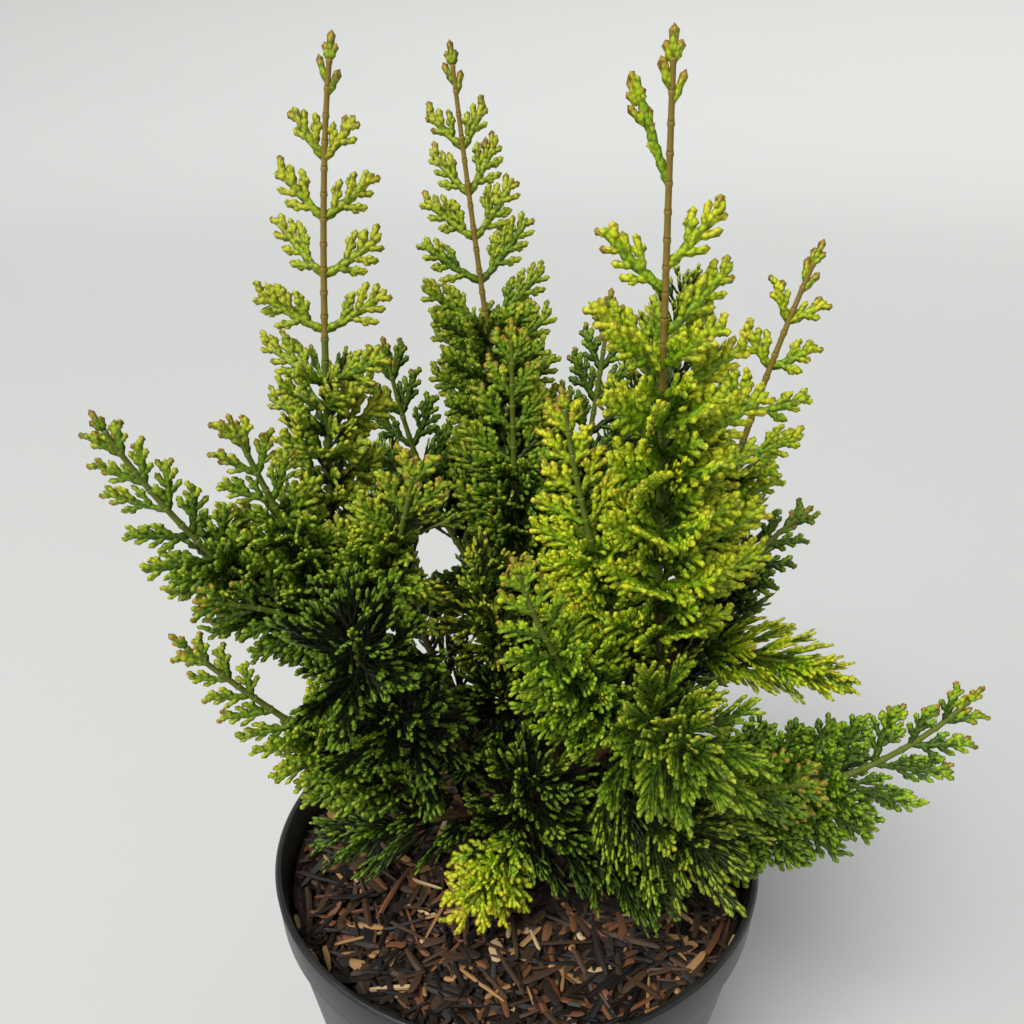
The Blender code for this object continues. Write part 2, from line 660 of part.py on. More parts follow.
def fitting_side_spray(x, hand, length, own, others, limbs, pitch, face):
    """The largest size of a side spray that keeps to its frond's space, or nothing."""
    for shrink in SHRINK_STEPS:
        if length * shrink < SHORTEST_SPRAY:
            return None
        back, front, tip = side_spray(x, hand, length * shrink)
        root = np.array([x, hand * RIB_HALF_WIDTH])
        flat = [back, front, tip, (back + tip) / 2, (front + tip) / 2, (back + front) / 2, (root + back) / 2,
                (root + front) / 2, (back + front + 2 * tip) / 4, (back + front + 2 * root) / 4]
        points = np.array([on_frond(own, *place, pitch, face) for place in flat])
        if keeps_to_its_space(points, own, others, limbs):
            return back, front, tip
    return None


def rib_edge(shape, x, hand):
    """The short edge of the rib, on one side, that a side spray is extruded from."""
    for edge in shape.edges:
        middle = (edge.verts[0].co + edge.verts[1].co) / 2
        if edge.is_boundary and abs(middle.x - x) < RIB_HALF_WIDTH / 2 and middle.y * hand > 0:
            return edge
    raise ValueError("the rib has no edge there")


def extrude_edge(shape, edge):
    """Extrude one edge, and give the new edge."""
    old = set(edge.verts)
    grown = bmesh.ops.extrude_edge_only(shape, edges=[edge])["geom"]
    edges = [item for item in grown if isinstance(item, bmesh.types.BMEdge)]
    return next(item for item in edges if not old & set(item.verts))


def extrude_spray(shape, edge, places):
    """Extrude a rib's edge to a spray's broad part, and from there to its tip."""
    back, front, tip = places
    for targets in ((back, front), (tip, tip)):
        edge = extrude_edge(shape, edge)
        ends = sorted(edge.verts, key=lambda corner: (corner.co.x, abs(corner.co.y)))
        for corner, target in zip(ends, targets):
            corner.co.xy = target
    bmesh.ops.pointmerge(shape, verts=list(edge.verts), merge_co=(*tip, 0.0))


def make_flat_mass(name, own, others, limbs, parts):
    """A flat frond: a strip for its rib, side sprays extruded from it, bent along its path."""
    shoot = SHOOTS[name]
    angle = math.radians(shoot.faces)
    face = unit(np.array([math.cos(angle), math.sin(angle), FROND_LEAN]))
    length = path_length(own.points)
    shares = pair_shares(length, shoot)
    pitch = (shares[1] - shares[0]) * length
    stations = [0.0]
    for share in shares:
        stations += [share * length - RIB_HALF_WIDTH, share * length + RIB_HALF_WIDTH]
    stations.append(length - TIP_SPRAY_LENGTH / 2)
    shape = bmesh.new()
    bmesh.ops.create_grid(shape, x_segments=len(stations) - 1, y_segments=1, size=1.0)
    columns = sorted({round(corner.co.x, 4) for corner in shape.verts})
    for corner in shape.verts:
        station = stations[columns.index(round(corner.co.x, 4))]
        corner.co = (station, math.copysign(RIB_HALF_WIDTH, corner.co.y), 0.0)
    for share in shares:
        x = share * length
        for hand in (1, -1):
            full = shoot.spread * MM * envelope(share) / math.sin(math.radians(FORWARD_ANGLE))
            places = fitting_side_spray(x, hand, min(full, LONGEST_SPRAY), own, others, limbs, pitch, face)
            if places:
                extrude_spray(shape, rib_edge(shape, x, hand), places)
    finish_tip(shape, stations[-1], length)
    for corner in shape.verts:
        corner.co = on_frond(own, corner.co.x, corner.co.y, pitch, face)
    mesh = bpy.data.meshes.new(name)
    shape.to_mesh(mesh)
    shape.free()
    frond = add_object(name, mesh, parts)
    wall = frond.modifiers.new("Thickness", "SOLIDIFY")
    wall.thickness = SPRAY_THICKNESS
    wall.offset = 0.0
    return frond


def finish_tip(shape, station, length):
    """The spray that ends a frond, extruded from the end of its rib."""
    edge = min(shape.edges, key=lambda edge: sum(abs(corner.co.x - station) for corner in edge.verts))
    widest = (length - TIP_SPRAY_LENGTH / 3, TIP_SPRAY_LENGTH * SPRAY_HALF_WIDTH_SHARE)
    for x, half in (widest, (length, 0.0)):
        edge = extrude_edge(shape, edge)
        for corner in edge.verts:
            corner.co = (x, math.copysign(half, corner.co.y), 0.0)
    bmesh.ops.pointmerge(shape, verts=list(edge.verts), merge_co=(length, 0.0, 0.0))


def make_mass(name, seed, stems, limbs, templates, parts):
    """One mass of foliage, flat or bushy."""
    own = stems[name]
    others = [stem for key, stem in stems.items() if key != name]
    if SHOOTS[name].habit == "flat":
        mass = make_flat_mass(name, own, others, limbs, parts)
    else:
        mass = make_bushy_mass(name, seed, own, others, limbs, templates, parts)
    finish(mass, TONES[SHOOTS[name].tone], FOLIAGE_ROUGHNESS)


def build():
    clear_scene()
    parts = new_collection("potted_hinoki_cypress")
    cutters = new_collection("cutters")
    make_pot(parts, cutters)
    make_compost(parts)

    trunk = trunk_limb()
    make_limb("trunk", trunk, TRUNK_SIDES, parts)
    boughs = {}
    for name, entry in BOUGHS.items():
        boughs[name] = grow(trunk, entry, BOUGH_FOOT_RADIUS, BOUGH_TIP_RADIUS, BOUGH_POINTS)
        make_limb(name, boughs[name], BOUGH_SIDES, parts)

    limbs = [trunk, *boughs.values()]
    stems = {}
    for name, shoot in SHOOTS.items():
        stems[name] = grow(boughs[shoot.bough], shoot, STEM_FOOT_RADIUS, STEM_TIP_RADIUS,
                           STEM_POINTS[shoot.habit])
    templates = {}
    for teeth in (1, 2):
        mesh = spray_template(teeth)
        templates[teeth] = (mesh, *template_arrays(mesh))
    for seed, name in enumerate(SHOOTS):
        make_mass(name, seed, stems, limbs, templates, parts)


build()
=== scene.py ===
"""Potted hinoki cypress, dressed: its moulded pot, bark mulch, barked limbs and sprays of scale foliage.

Lengths are in metres. The frame's origin is the centre of the pot's underside, +Z is up and +Y away.
"""
import math
import random
from collections import namedtuple

import bpy
import numpy as np
from bpy.props import FloatProperty, FloatVectorProperty, IntProperty, PointerProperty
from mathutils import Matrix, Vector, noise


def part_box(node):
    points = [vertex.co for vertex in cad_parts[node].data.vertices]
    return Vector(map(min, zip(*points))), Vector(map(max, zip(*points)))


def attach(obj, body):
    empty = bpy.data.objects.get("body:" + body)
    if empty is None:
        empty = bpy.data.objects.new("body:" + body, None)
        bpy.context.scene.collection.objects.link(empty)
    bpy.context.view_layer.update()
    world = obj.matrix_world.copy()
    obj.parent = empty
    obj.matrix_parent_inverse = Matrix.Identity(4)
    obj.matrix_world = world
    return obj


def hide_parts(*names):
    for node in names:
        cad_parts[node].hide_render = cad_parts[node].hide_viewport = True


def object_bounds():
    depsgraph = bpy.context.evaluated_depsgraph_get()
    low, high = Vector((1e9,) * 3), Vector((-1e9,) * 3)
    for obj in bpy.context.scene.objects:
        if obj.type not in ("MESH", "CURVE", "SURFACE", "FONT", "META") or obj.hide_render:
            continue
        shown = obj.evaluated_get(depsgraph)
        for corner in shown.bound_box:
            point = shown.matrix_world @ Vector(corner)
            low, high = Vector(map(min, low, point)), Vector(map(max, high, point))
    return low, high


bl_info = {
    "name": "Potted Hinoki Cypress",
    "version": (1, 0, 0),
    "blender": (4, 5, 0),
    "location": "3D Viewport > Sidebar > Cypress",
    "description": "Models a hinoki cypress in a nursery pot, spray by spray",
    "category": "Object",
}

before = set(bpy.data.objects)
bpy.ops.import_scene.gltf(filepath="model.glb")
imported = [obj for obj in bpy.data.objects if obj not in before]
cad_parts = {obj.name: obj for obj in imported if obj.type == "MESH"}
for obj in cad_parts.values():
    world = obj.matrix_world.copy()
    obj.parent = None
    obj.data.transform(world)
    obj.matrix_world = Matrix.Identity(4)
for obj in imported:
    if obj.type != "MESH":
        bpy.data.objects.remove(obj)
CAD_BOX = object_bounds()

MM = 0.001
BODY = "root"
UP = np.array([0.0, 0.0, 1.0])


def linear(hex_code):
    """A linear colour from an sRGB hex code."""
    shares = [int(hex_code[k:k + 2], 16) / 255 for k in (1, 3, 5)]
    return tuple(s / 12.92 if s <= 0.04045 else ((s + 0.055) / 1.055) ** 2.4 for s in shares)


# The plant's limbs: the same named sizes and rules as its solids

# at: where a limb leaves its parent, as a share of the parent's length
# compass: the way it heads, in degrees; reach and climb: how far out and up its tip lies, in millimetres
# turn: above zero it leaves outwards and then climbs, below zero it climbs first
# spread: half the width of the mass on a stem, in millimetres; habit: how its sprays grow
# tone: its palette; the last column: how much lighter or darker it is than the others of that palette,
# partly its own colour and partly painted light and shade, lighter for masses out in the light and darker
# for those deep in the crown
Bough = namedtuple("Bough", "at compass reach climb turn")
BOUGHS = {
    "left_bough": Bough(0.72, -170, 64, 82, 0.35),
    "middle_bough": Bough(1.00, 105, 18, 57, 0.1),
    "right_bough": Bough(0.80, -40, 45, 61, 0.3),
    "right_back_bough": Bough(0.62, -5, 47, 71, 0.4),
    "lower_left_bough": Bough(0.44, -155, 37, 20, 0.2),
    "lower_right_bough": Bough(0.36, -20, 32, 16, 0.2),
    "front_bough": Bough(0.62, -105, 26, 8, 0.3),
    "back_left_bough": Bough(0.55, 140, 49, 44, 0.35),
    "back_right_bough": Bough(0.68, 50, 48, 52, 0.35),
    "back_low_bough": Bough(0.40, 85, 32, 15, 0.2),
}
Shoot = namedtuple("Shoot", "bough at compass reach climb turn spread habit tone glow", defaults=(0.0,))
SHOOTS = {
    "left_leader": Shoot("left_bough", 1.00, 25, 11, 160, -0.5, 21, "spire", "gold", 0.28),
    "left_upper_frond": Shoot("left_bough", 0.93, -138, 31, 76, 0.1, 15, "frond", "fresh", 0.34),
    "left_side_frond": Shoot("left_bough", 0.82, -155, 67, 90, 0.3, 16, "frond", "fresh", 0.24),
    "left_inner_frond": Shoot("left_bough", 0.93, -38, 33, 64, 0.4, 17, "frond", "gold", 0.12),
    "left_front_tuft": Shoot("left_bough", 0.80, -84, 54, 43, 0.4, 24, "tuft", "deep", -0.16),
    "left_arm": Shoot("left_bough", 0.88, 12, 38, 37, -0.9, 8, "plume", "fresh"),
    "left_low_frond": Shoot("left_bough", 0.68, -145, 58, 49, -0.4, 13, "frond", "fresh"),
    "left_neck": Shoot("left_bough", 0.50, -95, 43, 37, 0.3, 24, "tuft", "deep", -0.05),
    "middle_leader": Shoot("middle_bough", 1.00, 145, 29, 172, 0.1, 22, "leader", "gold", 0.12),
    "middle_front_frond": Shoot("middle_bough", 0.90, -120, 13, 105, 0.8, 17, "frond", "gold", -0.02),
    "middle_left_frond": Shoot("middle_bough", 0.82, 165, 49, 98, 0.5, 18, "frond", "fresh"),
    "middle_right_frond": Shoot("middle_bough", 0.76, 40, 32, 115, 0.4, 17, "frond", "fresh"),
    "back_middle_shoot": Shoot("middle_bough", 0.64, 95, 54, 74, 0.3, 22, "tuft", "fresh"),
    "gap_sprig": Shoot("middle_bough", 0.52, -115, 48, 72, 0.3, 10, "plume", "gold", -0.22),
    "middle_neck": Shoot("middle_bough", 0.30, -115, 35, 34, 0.3, 18, "tuft", "deep", 0.08),
    "right_leader": Shoot("right_bough", 1.00, -118, 20, 179, 0.2, 20, "spear", "lime", 0.16),
    "right_inner_frond": Shoot("right_bough", 0.93, -170, 30, 100, 0.3, 15, "frond", "lime", 0.22),
    "right_side_frond": Shoot("right_back_bough", 0.93, -38, 55, 11, -0.5, 14, "plume", "lime"),
    "right_low_inner": Shoot("right_bough", 0.72, -135, 52, 79, 0.3, 15, "frond", "lime", -0.10),
    "right_front_tuft": Shoot("right_bough", 0.80, -85, 63, 35, 0.0, 26, "fringe", "fresh", 0.10),
    "right_neck": Shoot("right_bough", 0.45, -65, 55, 10, 0.2, 24, "tuft", "fresh"),
    "right_back_leader": Shoot("right_back_bough", 1.00, 10, 31, 123, -0.2, 18, "spire", "lime", 0.12),
    "right_back_frond": Shoot("right_back_bough", 0.86, 15, 45, 51, -0.3, 12, "frond", "fresh"),
    "right_back_tuft": Shoot("right_back_bough", 0.70, 60, 52, 60, 0.3, 22, "tuft", "fresh"),
    "lower_left_branch": Shoot("lower_left_bough", 1.00, -155, 74, 85, 0.1, 14, "frond", "fresh", 0.36),
    "lower_left_fringe": Shoot("lower_left_bough", 0.60, -160, 50, 6, 0.0, 16, "fringe", "deep"),
    "lower_right_branch": Shoot("lower_right_bough", 1.00, -15, 102, 69, 0.5, 20, "frond", "lime", -0.30),
    "lower_right_front": Shoot("lower_right_bough", 0.55, -40, 82, 60, -0.1, 19, "frond", "fresh", 0.06),
    "right_fringe": Shoot("lower_right_bough", 0.36, -60, 52, 10, -0.2, 18, "fringe", "deep"),
    "front_spray": Shoot("front_bough", 1.00, -125, 32, -11, -0.4, 12, "frond", "lime", 0.34),
    "front_tuft": Shoot("front_bough", 0.60, -85, 30, 44, -0.2, 18, "tuft", "deep", 0.10),
    "centre_fringe": Shoot("front_bough", 0.45, -50, 31, 3, -0.2, 16, "fringe", "deep"),
    "back_left_shoot": Shoot("back_left_bough", 1.00, 125, 37, 63, 0.2, 24, "tuft", "fresh"),
    "back_left_fringe": Shoot("back_left_bough", 0.60, 155, 53, 7, 0.0, 20, "fringe", "deep"),
    "back_right_shoot": Shoot("back_right_bough", 1.00, 55, 35, 113, 0.1, 22, "tuft", "fresh", 0.10),
    "back_right_fringe": Shoot("back_right_bough", 0.60, 25, 56, 10, 0.1, 20, "fringe", "deep"),
    "back_low_shoot": Shoot("back_low_bough", 1.00, 100, 49, 34, 0.2, 22, "tuft", "deep"),
}
TRUNK_FOOT = np.array([5.0, -2.0, 126.3]) * MM
TRUNK_COMPASS = 50
TRUNK_REACH = 6 * MM
TRUNK_CLIMB = 39 * MM
TRUNK_TURN = -0.4
TRUNK_FLARE_RADIUS = 7.5 * MM
TRUNK_RADIUS = 4.6 * MM
TRUNK_FORK_RADIUS = 3.6 * MM
FLARE_SHARE = 0.25
BOUGH_RADII = (2.6 * MM, 1.7 * MM)
STEM_RADII = (1.5 * MM, 0.85 * MM)
FORWARD_ANGLE = 42
FIRST_SPRAY_SHARE = 0.16
FROND_LEAN = 0.45
FACE_TO_VIEWER = np.array([0.0, -0.91, 0.41])
GOLDEN_TURN = 137.5
LONGEST_SPRAY = 35 * MM
MULCH_LEVEL = 126 * MM

# How each habit is carried to finer twigs.
# grain: the size of a finger twig against the usual one
# reach: the sprays' reach against the solids'
# pitch: between pairs, as a share of the spread; between single sprays all round a stem, in metres
# fill, last: where the sprays out of a frond's plane, and all pairs, end along the stem
# tilt: a spray's angle to its stem; angle: a finger twig's angle to its spray
# finger: the longest finger twig as a share of its spray; first: where they begin along it
# turn: how far finger twigs leave their spray's plane, in degrees; droop: how far they hang
# twigs: the space between finger twigs on one side of a spray
# rise: how many tones lighter a finger twig's middle and tip are than its foot
# mood: the tone of a mass at its foot, and how much it lightens to the stem's tip and along each spray; the
# dark feet and light tips are partly the plant's own older and younger growth and partly painted shade deep
# in the mass and painted light outside
Growth = namedtuple(
    "Growth", "flat grain reach pitch fill last tilt finger first angle turn droop twigs rise mood")
GROWTHS = {
    "spear": Growth(True, 1.34, 1.20, 0.80, 0.60, 0.71, 64, 0.36, 0.20, 48, 8, 0.0, 4.8 * MM,
                    (0, 1), (0.06, 0.28, 0.44)),
    "spire": Growth(True, 1.26, 0.94, 0.76, 0.46, 0.81, 66, 0.44, 0.18, 48, 8, 0.0, 4.8 * MM,
                    (0, 1), (-0.08, 0.50, 0.44)),
    "leader": Growth(True, 1.22, 1.02, 0.58, 0.52, 0.83, 62, 0.42, 0.18, 46, 10, 0.0, 4.6 * MM,
                     (0, 1), (-0.12, 0.54, 0.42)),
    "frond": Growth(True, 1.16, 1.16, 0.62, 0.52, 0.87, 55, 0.40, 0.16, 45, 14, 0.03, 4.3 * MM,
                    (0, 1), (-0.10, 0.44, 0.44)),
    "plume": Growth(False, 0.92, 1.18, 1.9 * MM, 0.0, 0.97, 38, 0.50, 0.10, 28, 40, 0.02, 3.4 * MM,
                    (1, 2), (0.06, 0.20, 0.32)),
    "tuft": Growth(False, 0.86, 1.40, 2.0 * MM, 0.0, 0.97, 42, 0.55, 0.14, 24, 55, 0.02, 3.8 * MM,
                   (0, 3), (-0.10, 0.10, 0.28)),
    "fringe": Growth(False, 0.86, 1.25, 2.1 * MM, 0.0, 0.95, 38, 0.52, 0.14, 24, 45, 0.06, 3.7 * MM,
                     (1, 2), (-0.06, 0.22, 0.34)),
}
SHORTEST_PITCH = 9 * MM

# Gaps through the crown, each a straight bore from one point to another that sprays keep out of
Opening = namedtuple("Opening", "near far radius")
OPENINGS = [
    Opening(np.array([-19, -70, 285]) * MM, np.array([-32, 80, 209]) * MM, 8 * MM),
    Opening(np.array([-59, -70, 246]) * MM, np.array([-99, 80, 142]) * MM, 8 * MM),
]

Limb = namedtuple("Limb", "points radii")
# light: how many tones lighter a spray is dealt than its mass, painted light and shade
Place = namedtuple("Place", "root forward normal stem length share light")


def unit(vector):
    return vector / np.linalg.norm(vector)


def bend(foot, compass, reach, climb, turn, count=33):
    """Points of a limb's centre line, one smooth curve from its foot to its tip."""
    angle = math.radians(compass)
    out = np.array([math.cos(angle), math.sin(angle), 0.0])
    middle = foot + out * reach * (1 + turn) / 2 + UP * climb * (1 - turn) / 2
    tip = foot + out * reach + UP * climb
    share = np.linspace(0.0, 1.0, count)[:, None]
    return (1 - share) ** 2 * foot + 2 * share * (1 - share) * middle + share ** 2 * tip


def along(points, share):
    """The point and the unit direction at a share of a path's length."""
    steps = np.linalg.norm(np.diff(points, axis=0), axis=1)
    reached = np.concatenate([[0.0], np.cumsum(steps)])
    target = share * reached[-1]
    k = min(int(np.searchsorted(reached, target, side="right")) - 1, len(steps) - 1)
    direction = (points[k + 1] - points[k]) / steps[k]
    return points[k] + direction * (target - reached[k]), direction


def path_length(points):
    return np.linalg.norm(np.diff(points, axis=0), axis=1).sum()


def grow(parent, entry, radii):
    """A limb's whole path from its parent's centre line, with its radii."""
    foot = along(parent.points, entry.at)[0]
    path = bend(foot, entry.compass, entry.reach * MM, entry.climb * MM, entry.turn)
    return Limb(path, np.linspace(*radii, len(path)))


def trunk_limb():
    points = bend(TRUNK_FOOT, TRUNK_COMPASS, TRUNK_REACH, TRUNK_CLIMB, TRUNK_TURN, 25)
    shares = np.linspace(0.0, 1.0, len(points))
    flare = np.clip(1.0 - shares / FLARE_SHARE, 0.0, 1.0) ** 2 * (TRUNK_FLARE_RADIUS - TRUNK_RADIUS)
    return Limb(points, np.linspace(TRUNK_RADIUS, TRUNK_FORK_RADIUS, len(points)) + flare)


TRUNK = trunk_limb()
BOUGH_LIMBS = {name: grow(TRUNK, entry, BOUGH_RADII) for name, entry in BOUGHS.items()}
STEMS = {name: grow(BOUGH_LIMBS[shoot.bough], shoot, STEM_RADII) for name, shoot in SHOOTS.items()}


# Working by hand: selecting, modelling in rings, finishing

def deselect():
    bpy.ops.object.select_all(action="DESELECT")


def activate(item):
    deselect()
    item.select_set(True)
    bpy.context.view_layer.objects.active = item


def extrude_rings(rings, radius):
    """Extrude the selected face through rings of (height, radius), resizing it at each."""
    height = 0.0
    for next_height, next_radius in rings:
        rise = (0.0, 0.0, next_height - height)
        bpy.ops.mesh.extrude_region_move(TRANSFORM_OT_translate={"value": rise})
        scale = next_radius / radius
        bpy.ops.transform.resize(value=(scale, scale, 1.0))
        height, radius = next_height, next_radius


def ring_form(name, sides, rings, pointed=False):
    """A closed form from a filled circle and rings of (height, radius); a pointed one ends in a tip."""
    deselect()
    first_height, first_radius = rings[0]
    bpy.ops.mesh.primitive_circle_add(vertices=sides, radius=first_radius, fill_type="NGON")
    item = bpy.context.object
    item.name = name
    bpy.ops.object.mode_set(mode="EDIT")
    extrude_rings([(height - first_height, radius) for height, radius in rings[1:]], first_radius)
    if pointed:
        bpy.ops.mesh.merge(type="CENTER")
    bpy.ops.mesh.select_all(action="SELECT")
    bpy.ops.transform.translate(value=(0.0, 0.0, first_height))
    bpy.ops.mesh.normals_make_consistent(inside=False)
    bpy.ops.object.mode_set(mode="OBJECT")
    return item


def apply_modifier(item, kind, **settings):
    """Add a modifier with its settings and apply it."""
    activate(item)
    modifier = item.modifiers.new(kind.title(), kind)
    for key, value in settings.items():
        setattr(modifier, key, value)
    bpy.ops.object.modifier_apply(modifier=modifier.name)


def smooth(item, angle=None):
    activate(item)
    if angle is None:
        bpy.ops.object.shade_smooth()
    else:
        bpy.ops.object.shade_smooth_by_angle(angle=math.radians(angle))


def take_arrays(item):
    """A small model's corners and triangles as arrays; the model is removed."""
    activate(item)
    bpy.ops.object.mode_set(mode="EDIT")
    bpy.ops.mesh.select_all(action="SELECT")
    bpy.ops.mesh.quads_convert_to_tris()
    bpy.ops.object.mode_set(mode="OBJECT")
    corners = np.empty(len(item.data.vertices) * 3)
    item.data.vertices.foreach_get("co", corners)
    faces = np.empty(len(item.data.polygons) * 3, dtype=np.int32)
    item.data.polygons.foreach_get("vertices", faces)
    bpy.data.objects.remove(item, do_unlink=True)
    return corners.reshape(-1, 3), faces.reshape(-1, 3)


def mesh_object(name, corners, faces, tones, materials):
    """One joined mesh from arrays of corners, triangles and each triangle's material."""
    mesh = bpy.data.meshes.new(name)
    mesh.vertices.add(len(corners))
    mesh.vertices.foreach_set("co", np.asarray(corners, dtype=np.float32).ravel())
    mesh.loops.add(faces.size)
    mesh.loops.foreach_set("vertex_index", faces.ravel().astype(np.int32))
    mesh.polygons.add(len(faces))
    mesh.polygons.foreach_set("loop_start", np.arange(0, faces.size, 3, dtype=np.int32))
    for material in materials:
        mesh.materials.append(material)
    mesh.polygons.foreach_set("material_index", np.asarray(tones, dtype=np.int32))
    mesh.update(calc_edges=True)
    mesh.validate()
    item = bpy.data.objects.new(name, mesh)
    bpy.context.scene.collection.objects.link(item)
    return item


def deliver(item, slot, *nodes):
    """A finished piece rides with the plant and hides the solids it stands for; its slot is not used."""
    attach(item, BODY)
    if nodes:
        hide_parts(*nodes)


# Materials

def add_node(tree, kind, settings=None, links=None, feeds=None):
    """Add a node with its settings or colour stops, its inputs linked, and a socket that it feeds."""
    node = tree.nodes.new(kind)
    for key, value in (settings or {}).items():
        if key == "stops":
            elements = node.color_ramp.elements
            while len(elements) < len(value):
                elements.new(0.5)
            for element, (position, colour) in zip(elements, value):
                element.position = position
                element.color = (*colour, 1.0)
        elif key in node.inputs:
            node.inputs[key].default_value = value
        else:
            setattr(node, key, value)
    for key, socket in (links or {}).items():
        tree.links.new(socket, node.inputs[key])
    if feeds is not None:
        tree.links.new(node.outputs[0], feeds)
    return node


def new_material(name, colour, roughness, specular=0.5):
    """A material with its plain shader, and its node tree."""
    material = bpy.data.materials.new(name)
    material.use_nodes = True
    shader = material.node_tree.nodes["Principled BSDF"]
    shader.inputs["Base Color"].default_value = (*colour, 1.0)
    shader.inputs["Roughness"].default_value = roughness
    shader.inputs["Specular IOR Level"].default_value = specular
    return material, material.node_tree, shader.inputs


def grain_of(tree, size, detail=3.0, stretch=(1.0, 1.0, 1.0)):
    """An uneven pattern in the object's own space, its features of a real size, stretched along an axis."""
    place = add_node(tree, "ShaderNodeTexCoord")
    mapping = add_node(tree, "ShaderNodeMapping", {"Scale": stretch}, {"Vector": place.outputs["Object"]})
    noise_settings = {"Scale": 1.0 / size, "Detail": detail, "Roughness": 0.55}
    node = add_node(tree, "ShaderNodeTexNoise", noise_settings, {"Vector": mapping.outputs["Vector"]})
    return node.outputs["Fac"]


def polypropylene(settings):
    """Moulded black polypropylene: satin, faintly pebbled by the mould, scuffed and dusty grey."""
    material, tree, surface = new_material("moulded_polypropylene", settings.pot_colour, 0.36)
    dust = grain_of(tree, 22 * MM, 5.0, (1.0, 1.0, 0.45))
    pebbles = grain_of(tree, 0.9 * MM, 2.0)
    stops = [(0.35, settings.pot_colour), (0.75, settings.dust_colour)]
    add_node(tree, "ShaderNodeValToRGB", {"stops": stops}, {"Fac": dust}, surface["Base Color"])
    add_node(tree, "ShaderNodeMapRange", {"To Min": 0.30, "To Max": 0.52}, {"Value": dust},
             surface["Roughness"])
    add_node(tree, "ShaderNodeBump", {"Strength": 0.22, "Distance": 0.12 * MM}, {"Height": pebbles},
             surface["Normal"])
    return material


def peaty_compost():
    """Damp peat compost: nearly black crumbs that scatter light."""
    material, tree, surface = new_material("peaty_compost", linear("#1E1611"), 0.92, 0.25)
    crumbs = grain_of(tree, 1.6 * MM, 6.0)
    stops = [(0.3, linear("#120D0A")), (0.7, linear("#34261B"))]
    add_node(tree, "ShaderNodeValToRGB", {"stops": stops}, {"Fac": crumbs}, surface["Base Color"])
    add_node(tree, "ShaderNodeBump", {"Strength": 0.8, "Distance": 0.6 * MM}, {"Height": crumbs},
             surface["Normal"])
    return material


def chipped_bark(name, shade):
    """Chipped conifer bark: a dull fibrous flake, a little glossy where it is damp."""
    return new_material("chipped_bark_" + name, linear(shade), 0.62, 0.4)[0]


def young_bark(name, shade):
    """The thin smooth bark of a young stem: a faint waxy sheen."""
    return new_material("young_stem_" + name, linear(shade), 0.55, 0.4)[0]


def hinoki_bark():
    """Hinoki bark: thin and reddish brown, peeling in fine fibres that run along the limb."""
    material, tree, surface = new_material("hinoki_bark", linear("#6B4A34"), 0.8, 0.3)
    fibres = grain_of(tree, 0.9 * MM, 5.0, (1.0, 1.0, 0.14))
    stops = [(0.30, linear("#3A271C")), (0.52, linear("#6E4B34")), (0.72, linear("#93735A"))]
    add_node(tree, "ShaderNodeValToRGB", {"stops": stops}, {"Fac": fibres}, surface["Base Color"])
    add_node(tree, "ShaderNodeBump", {"Strength": 0.6, "Distance": 0.25 * MM}, {"Height": fibres},
             surface["Normal"])
    return material


# Scale foliage is waxy: a soft sheen over a plain colour, which is dealt out by spray, darker deep in the
# crown as painted shade and lighter outside as painted light
LEAF_COLOURS = {
    "night": "#1C240B",
    "bottle": "#33430F",
    "ivy": "#4B6812",
    "leaf": "#6C8C1A",
    "meadow": "#88AC1A",
    "lime": "#ACC01E",
    "lemon": "#CACE24",
    "butter": "#D2C636",
    "moss": "#95AA24",
    "gold": "#B4B82C",
    "bronze": "#A58A2C",
}
# The tones of each mass from its shaded inside, dealt darker as painted shade, to its outermost tips; the
# deep palette, for masses low or deep in the crown, is dark as painted shade
PALETTES = {
    "gold": ("bottle", "leaf", "moss", "gold", "gold"),
    "lime": ("ivy", "meadow", "lime", "lemon", "butter"),
    "fresh": ("bottle", "ivy", "leaf", "moss", "gold"),
    "deep": ("night", "bottle", "ivy", "leaf", "moss"),
}
SCALE_RELIEF = 0.35 * MM


def scale_leaf(name, size):
    """Waxy scale leaves pressed to the twig: each swells between fine joints, with a soft sheen; its middle
    is lighter as a painted highlight and its joints darker as painted shade in the creases.
    """
    colour = np.array(linear(LEAF_COLOURS[name]))
    material, tree, surface = new_material("scale_leaf_" + name, colour, 0.44, 0.30)
    place = add_node(tree, "ShaderNodeTexCoord")
    scales = add_node(tree, "ShaderNodeTexVoronoi", {"Scale": 1.0 / size, "Randomness": 0.9},
                      {"Vector": place.outputs["Object"]}).outputs["Distance"]
    # Lighter scale middles are a painted highlight, darker joints painted shade in the creases between
    # scales
    stops = [(0.10, 1.14 * colour), (0.42, colour), (0.72, 0.42 * colour)]
    add_node(tree, "ShaderNodeValToRGB", {"stops": stops}, {"Fac": scales}, surface["Base Color"])
    add_node(tree, "ShaderNodeBump", {"Distance": SCALE_RELIEF, "Strength": 0.7, "invert": True},
             {"Height": scales}, surface["Normal"])
    return material


# Foliage: finger twigs of scale leaves, in sprays

def finger_rings(segments):
    """Rings of a finger twig of unit length: each pair of scale leaves swells, then pinches in."""
    rings = [(0.0, 0.30)]
    for k in range(segments - 1):
        rings.append(((k + 0.72) / segments, 0.5))
        rings.append(((k + 1.0) / segments, 0.36))
    return rings + [(1.0 - 0.36 / segments, 0.46), (1.0, 0.16)]


def model_finger(segments):
    """Corners, triangles and zones (0 foot, 1 middle, 2 tip) of a finger twig of unit size."""
    item = ring_form("finger", 4, finger_rings(segments), pointed=True)
    corners, faces = take_arrays(item)
    heights = corners[faces][:, :, 2].mean(axis=1)
    zones = (heights > 0.40).astype(int) + (heights > max(0.70, 1.0 - 1.2 / segments))
    return corners, faces, zones


